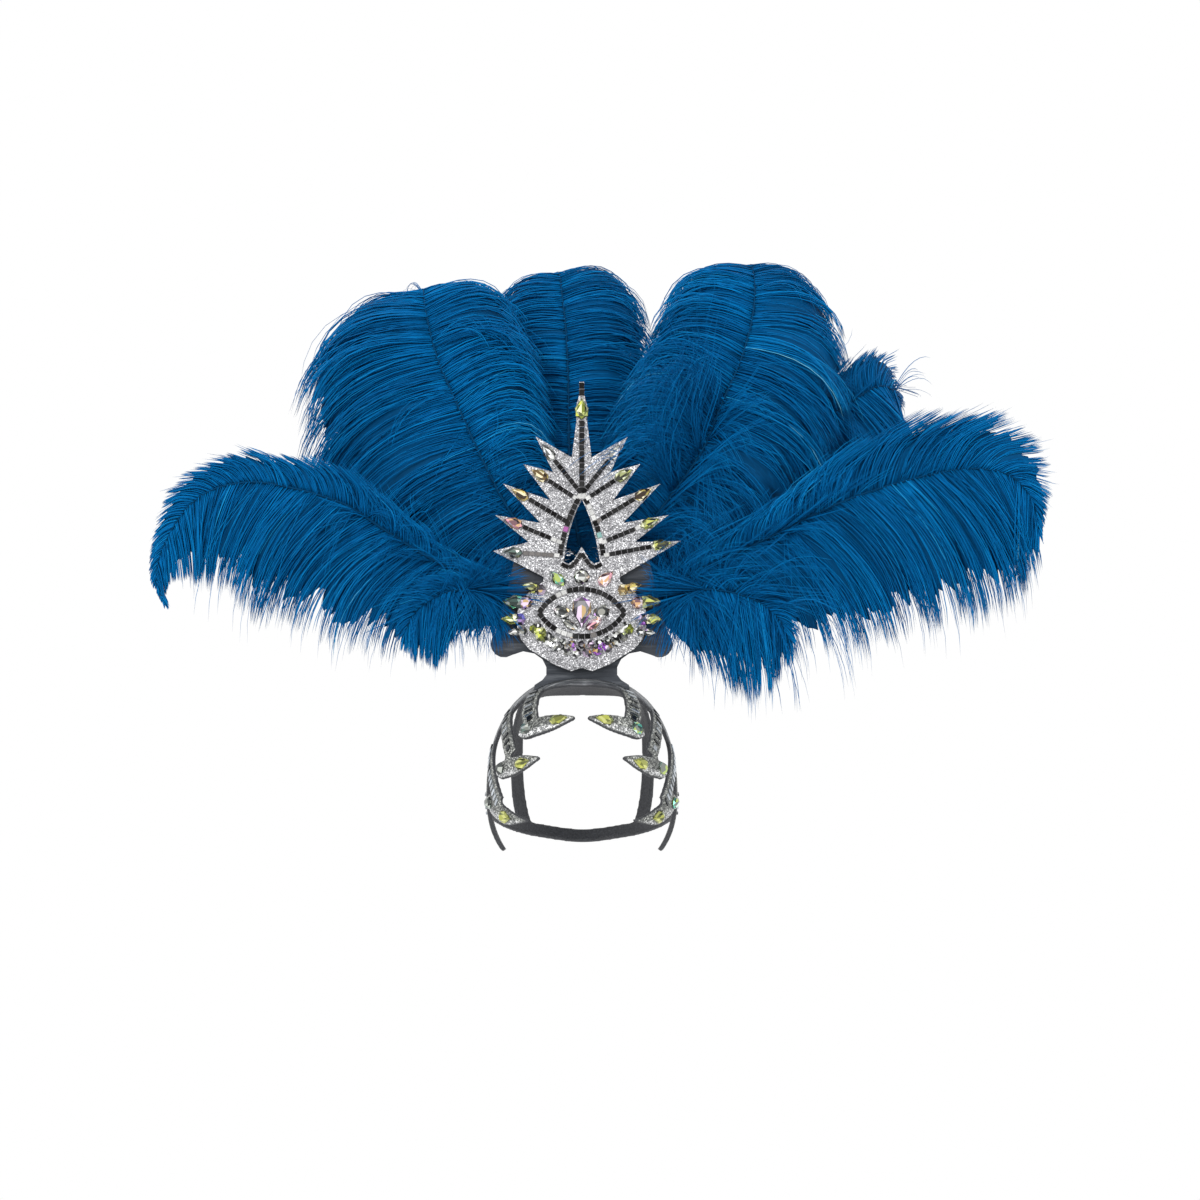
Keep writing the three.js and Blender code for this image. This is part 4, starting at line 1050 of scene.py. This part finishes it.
# A spike's tip, where its middle line joins the arch of tiles, and its stone's palettes
SPIKES = [
    {"tip": [88, 123], "left_tip": [79, 114], "joins": 1, "palettes": ("smoke", "green")},
    {"tip": [77, 146], "joins": 0.8, "palettes": ("pink", "green")},
    {"tip": [69.8, 173.8], "joins": 0.47, "palettes": ("gold", "gold")},
    {"tip": [52, 191.2], "joins": 0.1, "palettes": ("gold", "green")},
    {"tip": [41, 215.7], "joins": 0, "palettes": ("clear", "clear")},
]
SPIKE_STONE = {"setback": 17.5, "length": 18, "width": 9.6, "height": 4.4}
ARCH_LINE = np.array([[0.6, 165.2], [15.4, 138], [19.3, 110]])
SEAT_GAP = 0.3
CAP_STONE_HEIGHT = 4
BURST_TILE_Y = -38.6
EYE_TILE_Y = -42.9


def outline_of(cut, length, width, count):
    """A stone's outline: an ellipse, drawn in towards one end for a drop and both for a navette."""
    angle = turns(count)
    narrow = {
        "round": np.ones(count),
        "drop": np.minimum(1, 1.25 * np.sin(angle / 2) ** 1.3),
        "navette": np.abs(np.sin(angle)) ** 0.5,
    }[cut]
    across = np.sin(angle) * narrow
    return np.stack([length / 2 * np.cos(angle), width / 2 * across / np.abs(across).max()], axis=-1)


def gem(cut, length, width, height, palette, rng):
    """A cut stone on its back, its pointed end along +X. A large one has two rings of facets between
    the girdle and the table, the outer ring turned half a step, and a small one has a single ring. A
    facet's tint, a painted reflection, is drawn from the palette."""
    large = max(length, width) > LARGE_STONE
    count = 8 if large else 6
    girdle = outline_of(cut, length, width, count)
    turned = (girdle + np.roll(girdle, -1, axis=0)) / 2
    levels = [(girdle, 0), (girdle, 0.18), (turned * 0.84, 0.62), (girdle * 0.46, 1)]
    if not large:
        levels.pop(2)
    points = np.vstack([np.column_stack([ring, np.full(count, rise * height)]) for ring, rise in levels])
    tints = np.array([srgb(*colour) for colour in PALETTES[palette]])

    def drawn(number):
        return rng.integers(0, len(tints), number)

    k = np.arange(count)
    wall = grid_faces(2, count, wrap=True)
    if large:
        near, mid, top = (k + ring * count for ring in (1, 2, 3))
        far, after, next_top = (np.roll(ring, -1) for ring in (near, mid, top))
        slopes = [[near, far, mid], [far, after, mid], [mid, next_top, top], [mid, after, next_top]]
        crown = np.stack([np.stack(corners, axis=-1) for corners in slopes]).reshape(-1, 3)
        pick = np.concatenate([drawn(2 * count), np.tile(drawn(count), 2)])
    else:
        crown = wall + count
        pick = np.repeat(drawn(count), 2)
    table = fan_faces(k + count * (len(levels) - 1))
    faces = np.vstack([wall, crown, table, fan_faces(k[::-1])])
    halves = drawn(2)[(np.arange(len(table)) * 2) // len(table)]
    facet = tints[np.concatenate([drawn(len(wall)), pick, halves, np.zeros(count - 2, int)])]
    return {"points": points * MM, "faces": outward(points, faces), "facet": facet}


def set_on_crest(body, x, back_y, z, angle):
    """Turns a stone by its angle from +X in the crest's plane and seats its back at back_y."""
    a = np.radians(angle)
    u, v, w = body["points"].T
    placed = np.stack([u * np.cos(a) - v * np.sin(a), -w, u * np.sin(a) + v * np.cos(a)], axis=-1)
    return {**body, "points": placed + np.array([x, back_y, z]) * MM}


def arch_point(t):
    """A point of the arch of tiles, a quadratic curve through its apex, shoulder and foot."""
    a, b, c = ARCH_LINE
    t = np.asarray(t, float)[..., None]
    return a * (1 - t) ** 2 + 2 * b * t * (1 - t) + c * t * t


def spike_line(spike, sign):
    """The inner end, the tip and the direction of a spike's middle line, as x and z."""
    tip = np.array(spike["left_tip"] if sign < 0 and "left_tip" in spike else spike["tip"], float)
    root, tip = arch_point(spike["joins"]) * [sign, 1], tip * [sign, 1]
    return root, tip, unit(tip - root)


def crest_gem(row, sign, back_y, rng):
    """The stone of a row of a table, on the left or mirrored on the right, seated at back_y."""
    cut, x, z, length, width, height, angle, left, right = row
    stone = gem(cut, length, width, height, left if sign < 0 else right, rng)
    return set_on_crest(stone, sign * x, back_y, z, angle if sign > 0 else 180 - angle)


def make_crest_stones(material):
    """The stones of the mast, the spikes, the eye and its sides, and under the eye a field of small
    ones, set evenly along the arcs of two ellipses."""
    rng = np.random.default_rng(41)

    def put(name, gems, slot="crystal_green"):
        make_piece(f"{name}_cut", joined(gems), material, [name], smooth=False)

    put("mast_stone", [crest_gem(MAST_STONE, 1, BURST_TILE_Y, rng)])
    for label, sign in SIDES.items():
        for k, spike in enumerate(SPIKES):
            _, tip, way = spike_line(spike, sign)
            x, z = tip - way * SPIKE_STONE["setback"]
            size = [SPIKE_STONE[key] for key in ("length", "width", "height")]
            stone = gem("drop", *size, spike["palettes"][sign > 0], rng)
            angle = np.degrees(np.arctan2(way[1], way[0]))
            put(f"spike_stone_{label}_{k + 1}", [set_on_crest(stone, x, BURST_TILE_Y, z, angle)])
        for k, pair in enumerate(SIDE_STONES):
            put(f"side_stones_{label}_{k + 1}", [crest_gem(row, sign, EYE_TILE_Y, rng) for row in pair])
    for name, row in EYE_STONES.items():
        slot = "crystal_violet" if name == "pupil_stone" else "crystal_clear"
        both = {f"{name}_{label}": sign for label, sign in SIDES.items()}
        for place, sign in (both if row[1] else {name: 1}).items():
            put(place, [crest_gem(row, sign, EYE_TILE_Y, rng)], slot)
    field = []
    for row in FIELD_ROWS:
        share = (np.arange(row["count"]) + 0.5) / row["count"]
        angle = np.radians(FIELD["from"] + (FIELD["to"] - FIELD["from"]) * share)
        line = [row["half_width"] * np.cos(angle), FIELD["z"] + row["half_height"] * np.sin(angle)]
        for x, z in zip(*line):
            odd = "lime" if abs(x) > FIELD["lime_past"] else "violet"
            palette = "clear" if rng.random() < FIELD["clear_share"] else odd
            stone = gem("round", row["size"], row["size"], row["height"], palette, rng)
            field.append(set_on_crest(stone, x, EYE_TILE_Y - FIELD["bed"] / 2, z, rng.uniform(0, 90)))
    put("stone_field", field, "crystal_clear")


def make_cap_stones(material):
    """Stones on the boots: each lies on the cap's surface and points to the tip of its toe."""
    rng = np.random.default_rng(7)
    for name, (cut, palettes, rows) in CAP_STONES.items():
        for boot, azimuth, elevation, length, width in rows:
            for label, sign in SIDES.items():
                toe = SIDE_BANDS[f"foot_{boot}"][-1]
                direction = cap_direction(sign * azimuth, elevation)
                seat, up = on_cap(direction), cap_normal(direction)
                aim = on_cap(cap_direction(sign * toe[0], toe[1])) - seat
                along = unit(aim - up * np.dot(aim, up))
                turn = np.stack([along, np.cross(up, along), up])
                stone = gem(cut, length, width, CAP_STONE_HEIGHT, palettes[sign > 0], rng)
                stone["points"] = stone["points"] @ turn + seat + up * SEAT_GAP * MM
                place = f"{name}_{boot}_{label}"
                make_piece(f"{place}_cut", stone, material, [place], smooth=False)


# Mirror tiles
TILE = {
    "width": 4.4, "spike_width": 3.8, "peak_width": 3.4, "length": 5.4, "height": 1.7, "bed": 0.8,
    "fill": 0.93, "rim": 0.35, "face": 0.86, "tilt": 0.04,
}
MAST_STRIP = [[0, 160], [0, 229.7]]
TOP_BAR = [[0, 251.7], [0, 263.4]]
PEAK_SIDE = [[6.6, 102], [11.5, 99.2], [18, 102.6]]
EYE = {"z": 59.3, "half_length": 37.8, "rise": 20.9}
CORNERS = np.array([(-1, -1), (1, -1), (1, 1), (-1, 1)])
LIGHT, GREY = (250, 250, 248), (142, 138, 136)
RIBBON = (176, 174, 178)
# The stretches of the rows on the left and on the right whose tiles carry a light or coloured painted
# reflection: the arch, then the spikes from the lowest, each from its inner end, and then the eye's lids
# from their left corners
BRIGHT_ARCH = {
    "left": [(0, 0.08, LIGHT), (0.52, 0.62, (216, 130, 206))],
    "right": [(0, 0.1, LIGHT), (0.2, 0.42, LIGHT), (0.6, 0.7, (176, 226, 220)), (0.7, 0.78, LIGHT)],
}
BRIGHT_SPIKES = {
    "left": [
        [(0, 0.2, LIGHT), (0.2, 1, GREY)], [(0, 0.3, LIGHT)], [(0, 0.06, LIGHT)], [(0, 0.1, LIGHT)], [],
    ],
    "right": [
        [(0, 0.12, LIGHT)], [(0, 0.16, LIGHT), (0.86, 1, LIGHT)], [(0, 0.1, GREY)], [(0, 0.2, LIGHT)],
        [],
    ],
}
BRIGHT_LIDS = [[(0.24, 0.33, LIGHT), (0.62, 0.66, GREY)], [(0.25, 0.42, LIGHT), (0.58, 0.63, GREY)]]


def tinted(body, colour):
    """A body with one tint on all its faces."""
    return {**body, "facet": np.tile(srgb(*colour), (len(body["faces"]), 1))}


def tile_block(middle, u, v, up, levels, colour):
    """A low block with a chamfered rim: a rectangle with half sides u and v at each level, which is a
    share of its size and a height, or a height for each corner."""
    flat = CORNERS[:, :1] * u + CORNERS[:, 1:] * v
    return tinted(loft([middle + flat * share + up * height for share, height in levels]), colour)


def tile_run(track, width, back_y, rng, bright=()):
    """Square tiles in a row along a line of x and z, each tilted a little, on a thin ribbon. A tile's
    tint says how much light its tilt picks up: bright gives the stretches of the row, as shares of
    its length, whose tiles are light, and their colour."""
    track = np.asarray(track, float)
    run = run_along(track)
    count = max(1, int(round(run[-1] / TILE["length"])))

    def on_track(places):
        return np.stack([np.interp(places, run, track[:, k]) for k in (0, 1)], axis=-1)

    line = on_track(np.linspace(0, run[-1], max(2, count * 2)))
    way = unit(np.gradient(line, axis=0))
    side = np.stack([-way[:, 1], way[:, 0]], axis=-1) * width / 2
    rings = []
    for sign, height in ((-1, 0), (1, 0), (1, TILE["bed"]), (-1, TILE["bed"])):
        x, z = (line + sign * side).T
        rings.append(np.stack([x, 0 * x + back_y - height, z], axis=-1))
    bodies = [tinted(loft(np.stack(rings, axis=1) * MM), RIBBON)]
    middles = (np.arange(count) + 0.5) * run[-1] / count
    ways = unit(on_track(middles + 0.5) - on_track(middles - 0.5))
    reach = run[-1] / count / 2 * TILE["fill"]
    for place, (x, z), (ax, az) in zip(middles / run[-1], on_track(middles), ways):
        slope = (CORNERS @ (rng.normal(0, TILE["tilt"], 2) * [reach, width / 2]))[:, None]
        levels = [
            (1, TILE["bed"] * 0.5 * MM),
            (1, (TILE["height"] - TILE["rim"] + slope) * MM),
            (TILE["face"], (TILE["height"] + TILE["face"] * slope) * MM),
        ]
        light = rng.uniform(24, 58) * np.ones(3)
        for first, last, colour in bright:
            if first <= place <= last:
                light = np.array(colour) * rng.uniform(0.86, 1.0)
        middle = np.array([x, back_y, z]) * MM
        u, v = np.array([ax, 0, az]) * reach * MM, np.array([-az, 0, ax]) * width / 2 * MM
        bodies.append(tile_block(middle, u, v, FRONT, levels, light))
    return joined(bodies)


def make_tiles(material):
    """The rows of square tiles: the mast, the arch and the spikes, the bar on top, the eye's two lids,
    which are arcs of a circle through its corners, and the zigzag of the peak."""
    rng = np.random.default_rng(5)

    def put(name, runs, node_name):
        make_piece(name, joined(runs), material, [node_name], smooth=False)

    wide = TILE["width"]
    arch = arch_point(np.linspace(0, 1, 40))
    end = SPIKE_STONE["setback"] + SPIKE_STONE["length"] / 2 + SEAT_GAP
    runs = [tile_run(MAST_STRIP, wide, BURST_TILE_Y, rng, [(0, 0.07, LIGHT)])]
    for label, sign in SIDES.items():
        runs.append(tile_run(arch * [sign, 1], wide, BURST_TILE_Y, rng, BRIGHT_ARCH[label]))
        for spike, bright in zip(SPIKES, BRIGHT_SPIKES[label]):
            root, tip, way = spike_line(spike, sign)
            track = [root, tip - way * end]
            runs.append(tile_run(track, TILE["spike_width"], BURST_TILE_Y - 0.05, rng, bright))
    put("sunburst_mirrors", runs, "mirror_tiles_sunburst")
    put("top_mirrors", [tile_run(TOP_BAR, wide, BURST_TILE_Y, rng)], "mirror_bar_top")
    radius = (EYE["half_length"] ** 2 + EYE["rise"] ** 2) / (2 * EYE["rise"])
    spread = np.arcsin(EYE["half_length"] / radius)
    angle = np.linspace(-spread, spread, 60)
    lids = []
    for up, bright in zip((1, -1), BRIGHT_LIDS):
        z = EYE["z"] + up * (EYE["rise"] - radius + radius * np.cos(angle))
        lid = np.stack([radius * np.sin(angle), z], axis=-1)
        lids.append(tile_run(lid, wide, EYE_TILE_Y, rng, bright))
    put("eye_mirrors", lids, "mirror_tiles_eye")
    line = [*[[-x, z] for x, z in PEAK_SIDE[::-1]], [0, 112], *PEAK_SIDE]
    peaks = [tile_run(pair, TILE["peak_width"], EYE_TILE_Y, rng) for pair in zip(line, line[1:])]
    put("peak_mirrors", peaks, "mirror_tiles_peak")


# Rows of baguette tiles across the cap's stems: band, first and last share of its length, how many,
# their reach across the band as a share of its width, length along it, and how many are bright with a
# painted reflection
BAGUETTES = [
    ("stem_1", 0.2, 0.78, 6, 0.5, 2.0, 0.5),
    ("stem_1", 0.88, 0.9, 1, 0.3, 4.6, 0.4),
    ("stem_2", 0.16, 0.8, 7, 0.46, 2.0, 0.55),
    ("stem_2", 0.9, 0.92, 1, 0.28, 4.4, 0.5),
    ("stem_3", 0.1, 0.95, 13, 0.42, 2.3, 0.9),
    ("ear_tab", 0.06, 0.34, 4, 0.4, 2.3, 0.7),
]
BAGUETTE_LEVELS = [(1, -0.4 * MM), (1, 0.9 * MM), (0.82, 1.3 * MM)]


def make_baguettes(material):
    """Narrow mirror tiles laid across a band: each stands on the cap's surface and is turned to the
    band's direction."""
    rng = np.random.default_rng(23)
    bodies = []
    for band, first, last, count, reach, length, bright in BAGUETTES:
        for sign in SIDES.values():
            rows = SIDE_BANDS[band] if sign > 0 else mirrored(SIDE_BANDS[band])
            direction, middle, across, half = band_track(rows, 101)
            along = unit(np.gradient(middle, axis=0))
            for share in np.linspace(first, last, count):
                k = int(round(share * 100))
                u, v = across[k] * half[k] * reach, along[k] * length / 2 * MM
                # A tile's grey is a painted reflection: light for the bright ones, dark for the rest.
                light = rng.uniform(150, 235) if rng.random() < bright else rng.uniform(60, 110)
                colour = light * np.array([0.94, 0.97, 1])
                up = cap_normal(direction[k])
                bodies.append(tile_block(middle[k], u, v, up, BAGUETTE_LEVELS, colour))
    make_piece("cap_baguettes", joined(bodies), material, smooth=False)


# Stage
VIEW = {"x": 16.2, "distance": 2600, "z": 70.6, "frame": 1080, "sensor": 36}


def make_camera():
    """A level camera straight in front, with the photograph's frame at the cap's distance."""
    data = bpy.data.cameras.new("camera")
    data.sensor_width = VIEW["sensor"]
    data.lens = VIEW["sensor"] * VIEW["distance"] / VIEW["frame"]
    data.clip_end = 50
    camera = linked("camera", data)
    camera.location = (VIEW["x"] * MM, -VIEW["distance"] * MM, VIEW["z"] * MM)
    camera.rotation_euler = (np.pi / 2, 0, 0)
    bpy.context.scene.camera = camera


def make_light(name, place, size, power):
    """A square lamp that is turned to the headdress, level along its lower edge."""
    data = bpy.data.lights.new(name, "AREA")
    data.shape = "SQUARE"
    data.size = size
    data.energy = power
    light = linked(name, data)
    light.location = place
    back = unit(np.array(place) - [0, 0, 0.1])
    side = unit(np.cross([0, 0, 1], back))
    turn = Matrix(np.column_stack([side, np.cross(back, side), back]).tolist())
    light.rotation_euler = turn.to_euler()


def make_stage():
    """A round pale floor under the headdress, pale light all round and two soft lamps in front."""
    turn = turns(64)
    ring = np.stack([0.9 * np.cos(turn), 0.9 * np.sin(turn), 0 * turn - 0.75], axis=-1)
    mesh = bpy.data.meshes.new("floor")
    mesh.from_pydata(ring.tolist(), [], [list(range(len(ring)))])
    pale = {"Roughness": 0.9, "Base Color": (0.93, 0.93, 0.94, 1)}
    mesh.materials.append(new_material("pale_floor", pale)[0])
    linked("floor", mesh)
    world = bpy.data.worlds.new("pale_studio")
    world.use_nodes = True
    glow = world.node_tree.nodes["Background"].inputs
    glow["Color"].default_value = (1, 1, 1, 1)
    glow["Strength"].default_value = 1.0
    bpy.context.scene.world = world
    make_light("key", (-1.3, -2.4, 1.7), 1.2, 55)
    make_light("fill", (1.8, -2.0, 1.0), 1.4, 22)
    bpy.context.scene.view_settings.view_transform = "Standard"


make_camera()
make_stage()
plume_blue = plume_material()
for seed, plume_name in enumerate(PLUMES, start=11):
    make_plume(plume_name, plume_blue, seed)
make_cap(cap_material())
dark_foam = foam_material()
silver = silver_material()
make_plate("crest_backing", "crest_foam", dark_foam, 0.8 * MM)
make_plate("sunburst_plate", "sunburst_cloth", silver, 0.45 * MM)
make_plate("eye_plate", "eye_cloth", silver, 0.45 * MM)
make_plate("lower_point", "lower_point_cloth", silver, 0.25 * MM)
make_pad(dark_foam)
cut_glass = crystal_material()
make_crest_stones(cut_glass)
make_cap_stones(cut_glass)
mirror = mirror_material()
make_tiles(mirror)
make_baguettes(mirror)
